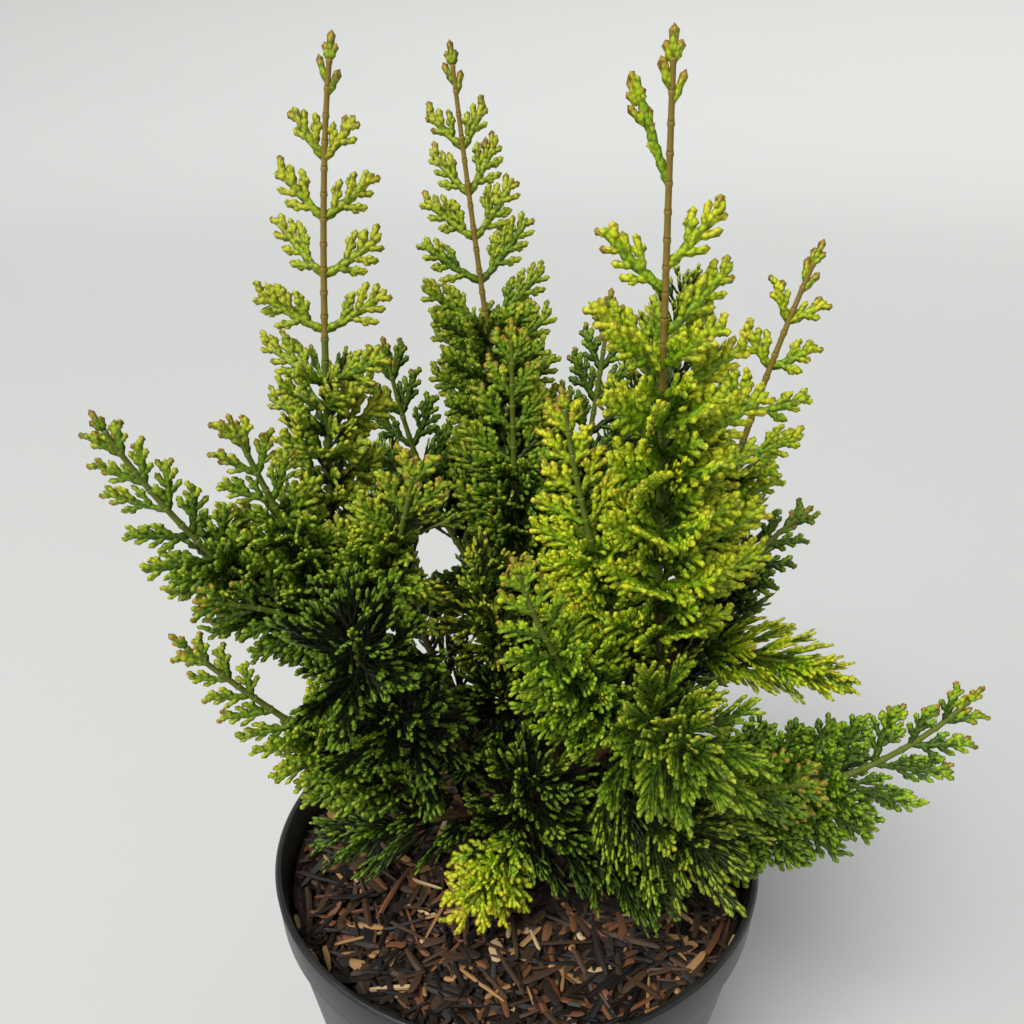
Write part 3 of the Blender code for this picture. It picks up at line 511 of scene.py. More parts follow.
class Bunch:
    """Finger twigs gathered for one piece, each a row of numbers under its count of segments."""

    def __init__(self):
        self.rows = {}

    def add(self, root, forward, across, normal, curl, size, segments, tones):
        row = (*root, *forward, *across, *normal, *curl, *size, *tones)
        self.rows.setdefault(min(max(segments, 1), MOST_SEGMENTS), []).append(row)

    def triangles(self, forms):
        return sum(len(rows) * len(forms[segments][1]) for segments, rows in self.rows.items())

    def piece(self, name, forms, materials):
        """All the twigs as one joined mesh."""
        corners, faces, tones, count = [], [], [], 0
        for segments, rows in sorted(self.rows.items()):
            form, triangles, zones = forms[segments]
            table = np.array(rows)
            root, forward, across, normal, curl = (table[:, None, k:k + 3] for k in range(0, 15, 3))
            length, width, thickness = (table[:, None, k:k + 1] for k in range(15, 18))
            x, y, z = (form[None, :, k:k + 1] for k in range(3))
            places = root + length * (z * forward + z ** 2 * curl)
            places = places + width * x * across + thickness * y * normal
            shifts = count + np.arange(len(rows)) * len(form)
            corners.append(places.reshape(-1, 3))
            faces.append((triangles[None] + shifts[:, None, None]).reshape(-1, 3))
            tones.append(table[:, 18:21][:, zones].ravel())
            count += len(rows) * len(form)
        item = mesh_object(name, *map(np.concatenate, (corners, faces, tones)), materials)
        smooth(item)
        return item


MOST_SEGMENTS = 10
FINGER_WIDTH = 1.85 * MM
FINGER_THICKNESS = 1.25 * MM
SCALE_LENGTH = 2.2 * MM
SHORTEST_FINGER = 2.6 * MM
LONGEST_FINGER = 13 * MM
LAST_FINGER_SHARE = 0.93
FINGER_STEEPENING = 8
# Finger twigs are longer on the side of a spray that looks to its stem's tip
UPPER_SIDE, LOWER_SIDE = 1.12, 0.9
RACHIS_CURL = 0.16
FINGER_CURL = 0.20
# A finger twig of a flat spray forks once, or twice when it is long, with a twiglet on each side
FORKING_FROM = 5.2 * MM
FORKING_TWICE_FROM = 7.5 * MM
ONE_FORK = (0.46,)
TWO_FORKS = (0.34, 0.62)
FORK_ANGLES = (30, 40)
FORK_STAGGER = 0.07
FORK_REACH = 0.44
# How flat sprays, the true ones, and bushy sprays differ: the rachis's width, how many scale lengths a
# swelling of the rachis and of a finger twig takes, and how far the tone strays from spray to spray
RACHIS_WIDTH = {True: 1.2, False: 1.0}
RACHIS_SCALES = {True: 1.3, False: 2.2}
FINGER_SCALES = {True: 1.0, False: 1.7}
TONE_SCATTER = {True: 0.05, False: 0.10}
# How far out on a flat mass the autumn bronze begins on the tips
RIPE_SHARE = 0.98
LEAF_ORDER = {name: k for k, name in enumerate(LEAF_COLOURS)}
TOP_TONE = 4


def envelope(share):
    """How long the sprays are along a stem, as a share of the mass's half width."""
    return min(1.0, 0.55 + 2.2 * share) * (1.0 - share) ** 0.62 + 0.12


def tones_for(palette, level, rise):
    """The foot, middle and tip tones of a finger twig, by how far out it stands."""
    order = [LEAF_ORDER[name] for name in palette]
    step = min(max(int(level * TOP_TONE), 0), TOP_TONE - 1)
    return order[step], order[min(step + rise[0], TOP_TONE)], order[min(step + rise[1], TOP_TONE)]


def turned(vector, axis, angle):
    """A vector at right angles to an axis, turned about it by an angle in radians."""
    return math.cos(angle) * vector + math.sin(angle) * np.cross(axis, vector)


def add_finger(bunch, root, forward, normal, length, growth, curl, tones, chance):
    """One finger twig; the long ones branch again."""
    across = unit(np.cross(normal, forward))
    width = FINGER_WIDTH * growth.grain * chance.uniform(0.9, 1.1)
    size = (length, width, FINGER_THICKNESS * growth.grain)
    segments = round(length / (growth.grain * (FINGER_SCALES[growth.flat] * SCALE_LENGTH)))
    bunch.add(root, forward, across, unit(np.cross(forward, across)), curl, size, max(segments, 2), tones)
    if length < FORKING_FROM * growth.grain or not growth.flat:
        return
    for share in ONE_FORK if length < FORKING_TWICE_FROM * growth.grain else TWO_FORKS:
        for hand in (1, -1):
            angle = math.radians(chance.uniform(*FORK_ANGLES))
            heading = unit(forward + 2 * share * curl)
            side = math.cos(angle) * heading + hand * math.sin(angle) * across
            at = share - FORK_STAGGER * (hand > 0)
            place = root + length * (at * forward + at ** 2 * curl)
            reach = max(SHORTEST_FINGER, FORK_REACH * length * (1.15 - share) * chance.uniform(0.85, 1.15))
            small = (reach, 0.92 * width, 0.9 * size[2])
            turn = FINGER_CURL * (heading - (heading @ side) * side)
            segments = 2 if reach > 3 * MM else 1
            bunch.add(place, side, unit(np.cross(normal, side)), normal, turn, small, segments, tones)


def add_spray(bunch, place, growth, palette, chance):
    """A side spray: a rachis of scale leaves with finger twigs on both sides, curving to the light."""
    across = np.cross(place.normal, place.forward)
    climb = place.stem - (place.stem @ place.forward) * place.forward
    curl = RACHIS_CURL * climb - growth.droop * UP
    length = place.length
    width = FINGER_WIDTH * growth.grain * RACHIS_WIDTH[growth.flat]
    # Darker at a mass's foot and lighter towards its tip and outwards: partly its own growth, partly
    # painted shade and painted light
    foot_mood, stem_rise, spray_rise = growth.mood
    mood = chance.uniform(-1.0, 1.0) * TONE_SCATTER[growth.flat] + place.light
    mood += foot_mood + stem_rise * place.share
    segments = round(length / (growth.grain * RACHIS_SCALES[growth.flat] * SCALE_LENGTH))
    size = (length, width, FINGER_THICKNESS * growth.grain)
    bunch.add(place.root, place.forward, across, place.normal, curl, size, max(segments, 2),
              tones_for(palette, mood, growth.rise))
    pitch = growth.twigs / length
    share = growth.first + chance.uniform(0.0, 0.4) * pitch
    hand = chance.choice((1, -1))
    while share < LAST_FINGER_SHARE:
        heading = unit(place.forward + 2 * share * curl)
        angle = math.radians(growth.angle + chance.uniform(-5, 6) - FINGER_STEEPENING * share)
        lean = math.radians(chance.uniform(-growth.turn, growth.turn))
        outward = hand * math.cos(lean) * across + math.sin(lean) * place.normal
        side = unit(math.cos(angle) * heading + math.sin(angle) * outward)
        reach = (growth.finger * (1.0 - share) ** 0.7 + 0.09) * length
        upper = hand * (across @ place.stem) > 0
        reach *= (UPPER_SIDE if upper else LOWER_SIDE) * chance.uniform(0.88, 1.12)
        reach = min(max(reach, SHORTEST_FINGER * growth.grain), LONGEST_FINGER)
        turn = FINGER_CURL * (heading - (heading @ side) * side) - 0.5 * growth.droop * UP
        point = place.root + length * (share * place.forward + share ** 2 * curl)
        level = mood + spray_rise * share + chance.uniform(-0.05, 0.05)
        tones = tones_for(palette, level, growth.rise)
        if growth.flat and place.share + 0.5 * share > RIPE_SHARE + chance.uniform(0.0, 0.2):
            tones = (*tones[:2], LEAF_ORDER["bronze"])
        add_finger(bunch, point, side, place.normal, reach, growth, turn, tones, chance)
        share += 0.5 * pitch * chance.uniform(0.9, 1.1)
        hand = -hand


def segments_of(limbs):
    """The straight stretches of some limbs: their starts, ends and radii."""
    starts = np.concatenate([limb.points[:-1:4] for limb in limbs])
    ends = np.concatenate([limb.points[4::4] for limb in limbs])
    radii = np.concatenate([limb.radii[:-1:4] for limb in limbs])
    return starts, ends, radii


def distances(points, starts, ends):
    """The distance from each point to each straight stretch."""
    reach = ends - starts
    offset = points[:, None, :] - starts[None]
    share = np.einsum("ijk,jk->ij", offset, reach) / np.einsum("jk,jk->j", reach, reach)
    nearest = starts[None] + np.clip(share, 0.0, 1.0)[:, :, None] * reach[None]
    return np.linalg.norm(points[:, None, :] - nearest, axis=2)


def blocks_opening(points):
    """Whether any of the points lies in a gap through the crown."""
    for opening in OPENINGS:
        line = unit(opening.far - opening.near)
        away = np.linalg.norm(np.cross(points - opening.near, line), axis=1)
        if away.min() < opening.radius:
            return True
    return False


OVERLAP = 6 * MM
LIMB_ROOM = 0.5 * MM
RIM_ROOM = 2 * MM
TIP_ROOM = 2.5 * MM
SHRINK_STEPS = (1.0, 0.85, 0.7, 0.55, 0.42)
SHORTEST_SPRAY = 5 * MM
# Points of a spray that have to keep to its mass's space, along and across it, as shares of its length
SPRAY_OUTLINE = np.array([(0.45, 0.0), (0.7, 0.0), (1.0, 0.0), (0.5, 0.22), (0.5, -0.22)])
POT_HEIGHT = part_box("pot")[1].z
RIM_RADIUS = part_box("pot")[1].x
RIM_THICKNESS = 2.4 * MM


def past_reach(points):
    """Whether any of the points lies beyond the furthest reach of the plant's solids."""
    low, high = np.array(CAD_BOX)
    return (points < low + TIP_ROOM).any() or (points > high - TIP_ROOM).any()


class Space:
    """The room that each mass keeps to: nearer its own stem than any other, clear of limbs and mulch."""

    def __init__(self):
        self.stems = {name: segments_of([stem]) for name, stem in STEMS.items()}
        self.limbs = segments_of([TRUNK, *BOUGH_LIMBS.values()])

    def holds(self, name, points):
        if past_reach(points):
            return False
        low = points[:, 2].min() < MULCH_LEVEL + 2 * MM
        beyond = np.hypot(points[:, 0], points[:, 1]) > RIM_RADIUS - RIM_THICKNESS - RIM_ROOM
        if low or (beyond & (points[:, 2] < POT_HEIGHT + 1 * MM)).any() or blocks_opening(points):
            return False
        starts, ends, radii = self.limbs
        if (distances(points, starts, ends) - radii[None]).min() < LIMB_ROOM:
            return False
        home = distances(points, *self.stems[name][:2]).min(axis=1)
        starts = np.concatenate([stem[0] for key, stem in self.stems.items() if key != name])
        ends = np.concatenate([stem[1] for key, stem in self.stems.items() if key != name])
        away = distances(points, starts, ends).min(axis=1)
        return (away - home).min() > -OVERLAP


# Flat masses stand upright, lean back a little and face the viewer's side
FACING = math.radians(-90)
FROND_FACE = unit(np.array([math.cos(FACING), math.sin(FACING), FROND_LEAN]))
PAIR_LEAN = 14
SPEAR_SHIFT = 0.7
UPPER_STEEPENING = 70
SPIRE_FOOT_PART = 0.42
SPIRE_WIDENING = 1.1
# Rows of sprays along a flat mass: their angles about the stem from the mass's plane, whether they stand
# halfway between two pairs, their length and light against a full pair's, and whether they roll. The light
# is
# painted: the pairs in the plane, which face the light, are dealt lighter tones, and the rows out of it,
# deeper in the mass, darker tones as painted shade
Row = namedtuple("Row", "angles halfway part light rolls")
PAIR_ROW = Row((0, 180), False, 1.0, 0.10, False)
FILL_ROWS = [
    Row((32, -32, 212, 148), True, 0.8, -0.02, False),
    Row((62, -62, 242, 118), False, 0.62, -0.12, False),
    Row((60, 110, 270), True, 0.8, -0.04, True),
]


def flat_places(own, shoot, growth, chance):
    """Side sprays in pairs in the mass's plane, then shorter ones out of it, lower down."""
    length = path_length(own.points)
    pitch = max(SHORTEST_PITCH, growth.pitch * shoot.spread * MM)
    pairs = max(2, round(length * (growth.last - FIRST_SPRAY_SHARE) / pitch) + 1)
    shares = np.linspace(FIRST_SPRAY_SHARE, growth.last, pairs)
    half = 0.5 * (shares[1] - shares[0])
    shift = SPEAR_SHIFT * half if shoot.habit == "spear" else 0.0
    rows = [(share - shift * (hand > 0), hand + chance.uniform(-PAIR_LEAN, PAIR_LEAN), PAIR_ROW)
            for share in shares for hand in PAIR_ROW.angles]
    for row in FILL_ROWS:
        rows += [(share, angle, row) for share in shares - half * row.halfway if share < growth.fill
                 for angle in row.angles]
    for share, angle, row in rows:
        part = row.part
        if shoot.habit == "spire":
            part *= min(1.0, SPIRE_FOOT_PART + SPIRE_WIDENING * share)
        root, direction = along(own.points, share)
        side = unit(np.cross(direction, FROND_FACE))
        turn = math.radians(angle + chance.uniform(-6, 6))
        outward = math.cos(turn) * side + math.sin(turn) * np.cross(side, direction)
        tilt = growth.tilt - UPPER_STEEPENING * max(0.0, share - 0.5) + chance.uniform(-4, 4)
        place = spray_place(root, direction, outward, tilt, shoot, growth, share)
        normal = unit(np.cross(direction, outward))
        if row.rolls:
            normal = turned(place.normal, place.forward, chance.uniform(-1.1, 1.1))
        place = place._replace(normal=normal, light=row.light)
        yield place._replace(length=place.length * part * chance.uniform(0.92, 1.06))


SIDE_TIP_SHARE = 0.815
SIDE_TIP_LENGTH = 25 * MM
SIDE_TIP_LEAN = 0.42


def add_side_tip(bunch, own, growth, palette, chance):
    """A slender tip that climbs beside the end of the tallest leader, with a few small finger twigs."""
    root, direction = along(own.points, SIDE_TIP_SHARE)
    outward = unit(np.cross(FROND_FACE, direction))
    forward = unit(direction + SIDE_TIP_LEAN * outward)
    normal = unit(np.cross(direction, outward))
    stem = Limb(np.linspace(root, root + SIDE_TIP_LENGTH * forward, 9), None)
    slender = growth._replace(grain=0.82 * growth.grain, finger=0.08, angle=24, twigs=8.0 * MM)
    place = Place(root, forward, normal, direction, SIDE_TIP_LENGTH, 0.9, 0.1)
    add_spray(bunch, place, slender, palette, chance)
    add_tip(bunch, stem, slender, palette, chance)


FIRST_BUSHY_SHARE = 0.06
FEWEST_BUSHY_SPRAYS = 10
BUSHY_STEEPENING = 14
BUSHY_ROLL = 50
# Sprays that point down are dealt darker tones and those that point up lighter ones, as painted shade and
# painted light
UNDERSIDE_SHADE = 0.08


def bushy_places(own, shoot, growth, chance):
    """Side sprays all round a stem, turned by the golden angle."""
    count = max(FEWEST_BUSHY_SPRAYS, round(path_length(own.points) / growth.pitch))
    for k, share in enumerate(np.linspace(FIRST_BUSHY_SHARE, growth.last, count)):
        root, direction = along(own.points, share)
        turn = math.radians(GOLDEN_TURN * k + chance.uniform(-15, 15))
        side = unit(np.cross(direction, FACE_TO_VIEWER))
        outward = math.cos(turn) * side + math.sin(turn) * np.cross(side, direction)
        tilt = growth.tilt + BUSHY_STEEPENING * (0.5 - share) + chance.uniform(-6, 6)
        place = spray_place(root, direction, outward, tilt, shoot, growth, share)
        roll = math.radians(chance.uniform(-BUSHY_ROLL, BUSHY_ROLL))
        across = np.cross(place.normal, place.forward)
        normal = math.cos(roll) * place.normal + math.sin(roll) * across
        place = place._replace(normal=normal, light=UNDERSIDE_SHADE * outward[2])
        yield place._replace(length=place.length * chance.uniform(0.85, 1.08))


def spray_place(root, direction, outward, tilt, shoot, growth, share):
    """Where a side spray starts, where it points and its full length."""
    angle = math.radians(tilt)
    forward = math.sin(angle) * outward + math.cos(angle) * direction
    normal = unit(np.cross(forward, np.cross(direction, outward)))
    length = growth.reach * shoot.spread * MM * envelope(share) / math.sin(math.radians(FORWARD_ANGLE))
    return Place(root, forward, normal, direction, min(length, LONGEST_SPRAY), share, 0.0)


TIP_LENGTH = 5.6 * MM
# Pairs of twigs at a stem's tip: how far back, their length against the middle one's, and their angle
TIP_PAIRS = ((1.9, 1.0, 24), (0.0, 0.62, 26))


def add_tip(bunch, own, growth, palette, chance):
    """The end of a stem: one finger twig straight on, with two pairs beside it."""
    reach = TIP_LENGTH * growth.grain
    root, direction = along(own.points, 1.0 - reach / path_length(own.points))
    side = unit(np.cross(direction, FACE_TO_VIEWER))
    normal = np.cross(side, direction)
    tones = tones_for(palette, 0.6, growth.rise)
    if growth.flat:
        tones = (*tones[:2], LEAF_ORDER["bronze"])
    plain = growth._replace(flat=False)
    add_finger(bunch, root, direction, normal, reach, plain, np.zeros(3), tones, chance)
    for back, length, angle in TIP_PAIRS:
        for hand in (1, -1):
            turn = math.radians(angle + chance.uniform(-5, 5))
            forward = math.cos(turn) * direction + hand * math.sin(turn) * side
            place = root - back * reach * (0.5 + 0.1 * hand) * direction
            curl = 0.15 * (direction - (direction @ forward) * forward)
            add_finger(bunch, place, forward, normal, length * reach, plain, curl, tones, chance)


def fitted(space, name, place):
    """The place with the largest length that keeps to the mass's space, or nothing."""
    across = np.cross(place.normal, place.forward)
    climb = place.stem - (place.stem @ place.forward) * place.forward
    shares, sides = SPRAY_OUTLINE[:, :1], SPRAY_OUTLINE[:, 1:]
    for shrink in SHRINK_STEPS:
        length = place.length * shrink
        if length < SHORTEST_SPRAY:
            return None
        points = place.root + length * (shares * place.forward + RACHIS_CURL * shares ** 2 * climb)
        if space.holds(name, points + length * sides * across):
            return place._replace(length=length)
    return None


CLOTHING_PITCH = 2.6 * MM
CLOTHING_ANGLES = (36, 62)
CLOTHING_ROLL = 0.8
FOOT_SPRAY_LENGTH = 15 * MM
CLOTHED_SHARE = 0.42
# Stems that are clothed further up: how far, and with what length of spray
ALSO_CLOTHED = {
    "gap_sprig": (0.85, 22 * MM),
    "back_left_shoot": (0.55, 22 * MM),
    "middle_left_frond": (0.5, 20 * MM),
    "left_arm": (0.8, 13 * MM),
    "left_inner_frond": (0.7, 15 * MM),
    "right_leader": (0.5, 21 * MM),
}


def clothe(bunch, points, start, stop, length, palette, chance):
    """Short sprays all round a stretch of a bough or stem, so that it shows little bare wood; their dark
    tones are painted shade.
    """
    count = round((stop - start) * path_length(points) / CLOTHING_PITCH)
    for k, share in enumerate(np.linspace(start, stop, max(count, 3))):
        root, direction = along(points, share)
        side = unit(np.cross(direction, FACE_TO_VIEWER))
        outward = turned(side, direction, math.radians(GOLDEN_TURN * k))
        angle = math.radians(chance.uniform(*CLOTHING_ANGLES))
        forward = math.sin(angle) * outward + math.cos(angle) * direction
        roll = chance.uniform(-CLOTHING_ROLL, CLOTHING_ROLL)
        normal = turned(unit(np.cross(direction, outward)), forward, roll)
        reach = length * chance.uniform(0.75, 1.1)
        ends = root + np.array([[0.6], [1.0]]) * reach * forward
        if ends[1, 2] > MULCH_LEVEL + 3 * MM and not blocks_opening(ends) and not past_reach(ends):
            place = Place(root, forward, normal, direction, reach, 0.2, 0.0)
            add_spray(bunch, place, GROWTHS["tuft"], palette, chance)


def grow_mass(bunch, name, space, seed):
    """All the sprays of one mass."""
    shoot, own = SHOOTS[name], STEMS[name]
    growth, palette = GROWTHS[shoot.habit], PALETTES[shoot.tone]
    chance = random.Random(seed)
    places = flat_places if growth.flat else bushy_places
    for place in places(own, shoot, growth, chance):
        place = fitted(space, name, place)
        if place:
            # Each mass's own shift is added to the spray's tone: partly its own colour, partly painted
            # light and shade
            add_spray(bunch, place._replace(light=place.light + shoot.glow), growth, palette, chance)
    add_tip(bunch, own, growth, palette, chance)
    if name == "right_leader":
        add_side_tip(bunch, own, growth, palette, chance)
    if growth.flat or name in ALSO_CLOTHED:
        stop, reach = ALSO_CLOTHED.get(name, (CLOTHED_SHARE, FOOT_SPRAY_LENGTH))
        clothe(bunch, own.points, 0.02, stop, reach, palette, chance)


PIECE_TRIANGLES = 110000
BARE_FOOT_SHARE = 0.14


class CYPRESS_OT_foliage(bpy.types.Operator):
    """Grow every mass of foliage, spray by spray, joined by colour"""
    bl_idname = "cypress.foliage"
    bl_label = "Foliage"

    def execute(self, context):
        forms = {segments: model_finger(segments) for segments in range(1, MOST_SEGMENTS + 1)}
        settings = context.scene.cypress
        materials = [scale_leaf(name, settings.scale_size) for name in LEAF_COLOURS]
        space = Space()
        for tone in PALETTES:
            bunch, grown, number = Bunch(), [], 1
            names = [name for name, shoot in SHOOTS.items() if shoot.tone == tone]
            for name in names:
                grow_mass(bunch, name, space, settings.foliage_seed + list(SHOOTS).index(name))
                grown.append(name)
                if bunch.triangles(forms) > PIECE_TRIANGLES or name == names[-1]:
                    item = bunch.piece(f"foliage_{tone}_{number}", forms, materials)
                    deliver(item, "foliage_" + tone, *grown)
                    bunch, grown, number = Bunch(), [], number + 1
        # The boughs are clothed in the darkest palette, painted shade deep in the crown
        for limb in BOUGH_LIMBS.values():
            chance = random.Random(settings.foliage_seed)
            clothe(bunch, limb.points, BARE_FOOT_SHARE, 1.0, settings.bough_spray, PALETTES["deep"], chance)
        deliver(bunch.piece("foliage_on_boughs", forms, materials), "foliage_deep")
        return {"FINISHED"}


# The young stems in the foliage

STEM_TONES = {"old": "#4E4428", "green": "#62701F", "bronze": "#86702A"}
LEADING_HABITS = ("spear", "spire", "leader")
OLD_SHARE = 0.2
BRONZE_SHARE = 0.5
INTERNODE = 6.5 * MM
STEM_STOP = 7 * MM
STRAIGHT = (0.0, 0.0, 0.0)


def internode_rings():
    """A stem between two nodes: it narrows a little, and swells where the next scales clasp it."""
    return [(0.0, 0.5), (0.12, 0.44), (0.80, 0.42), (0.94, 0.54), (1.04, 0.46)]


def stem_tone(share, habit):
    """The place in STEM_TONES: old at a stem's foot, bronze on a leader's upper half, else green."""
    if share < OLD_SHARE:
        return 0
    return 2 if share > BRONZE_SHARE and habit in LEADING_HABITS else 1


class CYPRESS_OT_stems(bpy.types.Operator):
    """Model the thin stems that carry the sprays, node by node"""
    bl_idname = "cypress.stems"
    bl_label = "Young stems"

    def execute(self, context):
        corners, faces = take_arrays(ring_form("internode", 6, internode_rings()))
        forms = {1: (corners, faces, np.zeros(len(faces), dtype=int))}
        bunch = Bunch()
        for name, stem in STEMS.items():
            length = path_length(stem.points)
            count = max(3, round((length - STEM_STOP) / INTERNODE))
            stop = 1.0 - STEM_STOP / length
            for k in range(count):
                start, end = (along(stem.points, stop * m / count)[0] for m in (k, k + 1))
                forward = unit(end - start)
                across = unit(np.cross(forward, FACE_TO_VIEWER))
                share = k / count
                width = 2 * (STEM_RADII[0] + (STEM_RADII[1] - STEM_RADII[0]) * share)
                tones = 3 * (stem_tone(share, SHOOTS[name].habit),)
                size = (np.linalg.norm(end - start), width, width)
                bunch.add(start, forward, across, np.cross(forward, across), STRAIGHT, size, 1, tones)
        materials = [young_bark(name, shade) for name, shade in STEM_TONES.items()]
        deliver(bunch.piece("young_stems", forms, materials), "bark")
        return {"FINISHED"}


# Trunk and boughs

FIBRE_SIZE = 1.3 * MM
PLATE_SIZE = 4.0 * MM


def model_limb(name, limb):
    """A limb as a curve with a round bevel and its own radii, made a mesh."""
    curve = bpy.data.curves.new(name, "CURVE")
    curve.dimensions = "3D"
    curve.bevel_depth = 1.0
    curve.bevel_resolution = 6
    curve.use_fill_caps = True
    spline = curve.splines.new("POLY")
    spline.points.add(len(limb.points) - 1)
    for point, place, radius in zip(spline.points, limb.points, limb.radii):
        point.co = (*place, 1.0)
        point.radius = radius
    item = bpy.data.objects.new(name, curve)
    bpy.context.scene.collection.objects.link(item)
    activate(item)
    bpy.ops.object.convert(target="MESH")
    return bpy.context.object


class CYPRESS_OT_limbs(bpy.types.Operator):
    """Model the trunk and boughs as one barked skin with grown-in forks"""
    bl_idname = "cypress.limbs"
    bl_label = "Trunk and boughs"

    def execute(self, context):
        settings = context.scene.cypress
        limbs = [model_limb("trunk_skin", TRUNK)]
        limbs += [model_limb(name + "_skin", limb) for name, limb in BOUGH_LIMBS.items()]
        deselect()
        for limb in limbs:
            limb.select_set(True)
        item = limbs[0]
        context.view_layer.objects.active = item
        bpy.ops.object.join()
        item.name = "barked_limbs"
        apply_modifier(item, "REMESH", mode="VOXEL", voxel_size=settings.bark_detail)
        raised = []
        for corner, normal in zip(item.data.vertices, item.data.vertex_normals):
            x, y, z = corner.co
            fibres = noise.noise(Vector((x, y, z * 0.16)) / FIBRE_SIZE)
            plates = noise.noise(Vector((x, y, z * 0.4)) / PLATE_SIZE)
            raised.append(corner.co + normal.vector * settings.bark_relief * (0.7 * fibres + 0.6 * plates))
        item.data.vertices.foreach_set("co", np.array(raised).ravel())
        item.data.update()
        smooth(item)
        item.data.materials.clear()
        item.data.materials.append(hinoki_bark())
        deliver(item, "bark", "trunk", *BOUGHS)
        return {"FINISHED"}


# The pot

POT_STEPS = 144
BASE_RADIUS = 61 * MM
BASE_DISH_RADIUS = 48 * MM
BASE_DISH_DEPTH = 0.7 * MM
COLLAR_HEIGHT = 14 * MM
COLLAR_STEP = 2.5 * MM
WALL_THICKNESS = 1.6 * MM
EDGE_EASE = 1 * MM
LIP_EASE = 0.8 * MM
BEVEL_WIDTH = 0.35 * MM
DRAIN_HOLES = 5
DRAIN_HOLE_RADIUS = 4.5 * MM
DRAIN_CIRCLE = 0.72 * BASE_RADIUS


class CYPRESS_OT_pot(bpy.types.Operator):
    """Model the round nursery pot with its stepped collar, rim and drain holes"""
    bl_idname = "cypress.pot"
    bl_label = "Pot"

    def execute(self, context):
        collar_foot = POT_HEIGHT - COLLAR_HEIGHT
        wall_top = RIM_RADIUS - COLLAR_STEP
        rings = [
            (BASE_DISH_DEPTH, BASE_DISH_RADIUS),
            (0.0, BASE_DISH_RADIUS + EDGE_EASE),
            (0.0, BASE_RADIUS - EDGE_EASE),
            (EDGE_EASE, BASE_RADIUS),
            (collar_foot, wall_top),
            (collar_foot, RIM_RADIUS - EDGE_EASE),
            (POT_HEIGHT - EDGE_EASE, RIM_RADIUS),
            (POT_HEIGHT, RIM_RADIUS - LIP_EASE),
            (POT_HEIGHT, RIM_RADIUS - RIM_THICKNESS + 0.5 * MM),
            (POT_HEIGHT - LIP_EASE, RIM_RADIUS - RIM_THICKNESS),
            (collar_foot + WALL_THICKNESS, wall_top - WALL_THICKNESS),
            (WALL_THICKNESS, BASE_RADIUS - WALL_THICKNESS),
        ]
        pot = ring_form("nursery_pot", POT_STEPS, rings)
        for k in range(DRAIN_HOLES):
            angle = 2 * math.pi * (k + 0.5) / DRAIN_HOLES
            deselect()
            bpy.ops.mesh.primitive_cylinder_add(
                vertices=28, radius=DRAIN_HOLE_RADIUS, depth=12 * MM,
                location=(DRAIN_CIRCLE * math.cos(angle), DRAIN_CIRCLE * math.sin(angle), 0.0))
            drill = context.object
            apply_modifier(pot, "BOOLEAN", operation="DIFFERENCE", object=drill)
            bpy.data.objects.remove(drill, do_unlink=True)
        apply_modifier(pot, "BEVEL", width=BEVEL_WIDTH, segments=2, limit_method="ANGLE",
                       angle_limit=math.radians(28))
        smooth(pot, 40)
        pot.data.materials.append(polypropylene(context.scene.cypress))
        deliver(pot, "pot_plastic", "pot")
        return {"FINISHED"}


# Compost and its cover of bark chips

MULCH_SWELL = 1.6 * MM
SEAT_RADIUS = 16 * MM
EDGE_DROP = 4.5 * MM
COMPOST_GAP = 0.4 * MM
COMPOST_STEPS = 24
COMPOST_DEPTH = 2.2 * MM
CRUMB_HEIGHT = 0.9 * MM
# Splinters, flakes and crumbs of bark: up to which draw each comes, then the least and greatest length,
# width and thickness in millimetres
CHIP_KINDS = [
    (0.58, (6, 20), (1.1, 2.8), (0.8, 1.6)),
    (0.76, (5, 12), (2.6, 4.8), (0.9, 1.6)),
    (1.00, (1.8, 4.5), (1.2, 2.8), (1.0, 2.2)),
]
CHIP_FORMS = 8
CHIP_SIDES = 5
CHIP_DIP = 0.16
CHIP_ROLL = 0.22
# In millimetres: how deep the lowest chips are bedded, and how much higher the topmost ones lie
CHIP_BED = -2.4
CHIP_COVER = 3.2
WALL_MARGIN = 1.5 * MM
# Each shade of bark, and how often it comes
CHIP_COLOURS = {
    "black": ("#120D0A", 9),
    "dark": ("#251A13", 12),
    "brown": ("#44301F", 9),
    "russet": ("#70462A", 6),
    "tan": ("#A27A4C", 3),
    "pale": ("#C9AC80", 1),
    "grey": ("#35312E", 2),
}


def inner_radius(height):
    """The pot's inside radius at a height, below its collar."""
    share = height / (POT_HEIGHT - COLLAR_HEIGHT)
    return BASE_RADIUS + (RIM_RADIUS - COLLAR_STEP - BASE_RADIUS) * share - WALL_THICKNESS


def mulch_height(x, y):
    """The uneven top of the mulch, level where the trunk stands and lower at the wall."""
    waves = math.sin(x / (9 * MM) + 1.3) * math.cos(y / (11 * MM)) + 0.6 * math.sin((x + 2 * y) / (13 * MM))
    away = math.hypot(x - TRUNK_FOOT[0], y - TRUNK_FOOT[1])
    fade = min(1.0, max(0.0, away / SEAT_RADIUS - 1.0))
    edge = max(0.0, math.hypot(x, y) / (RIM_RADIUS - 5 * MM) - 0.72) / 0.28
    return MULCH_LEVEL + MULCH_SWELL * (waves - 0.5) * fade - EDGE_DROP * edge ** 1.5


def chip_rings(chance):
    """Rings of a split chip of unit length: ragged, thickest in the middle."""
    shares = [0.0, 0.08, 0.45, 0.92, 1.0]
    widths = [0.22, 0.44, 0.5, 0.38, 0.15]
    return [(share, width * chance.uniform(0.8, 1.15)) for share, width in zip(shares, widths)]


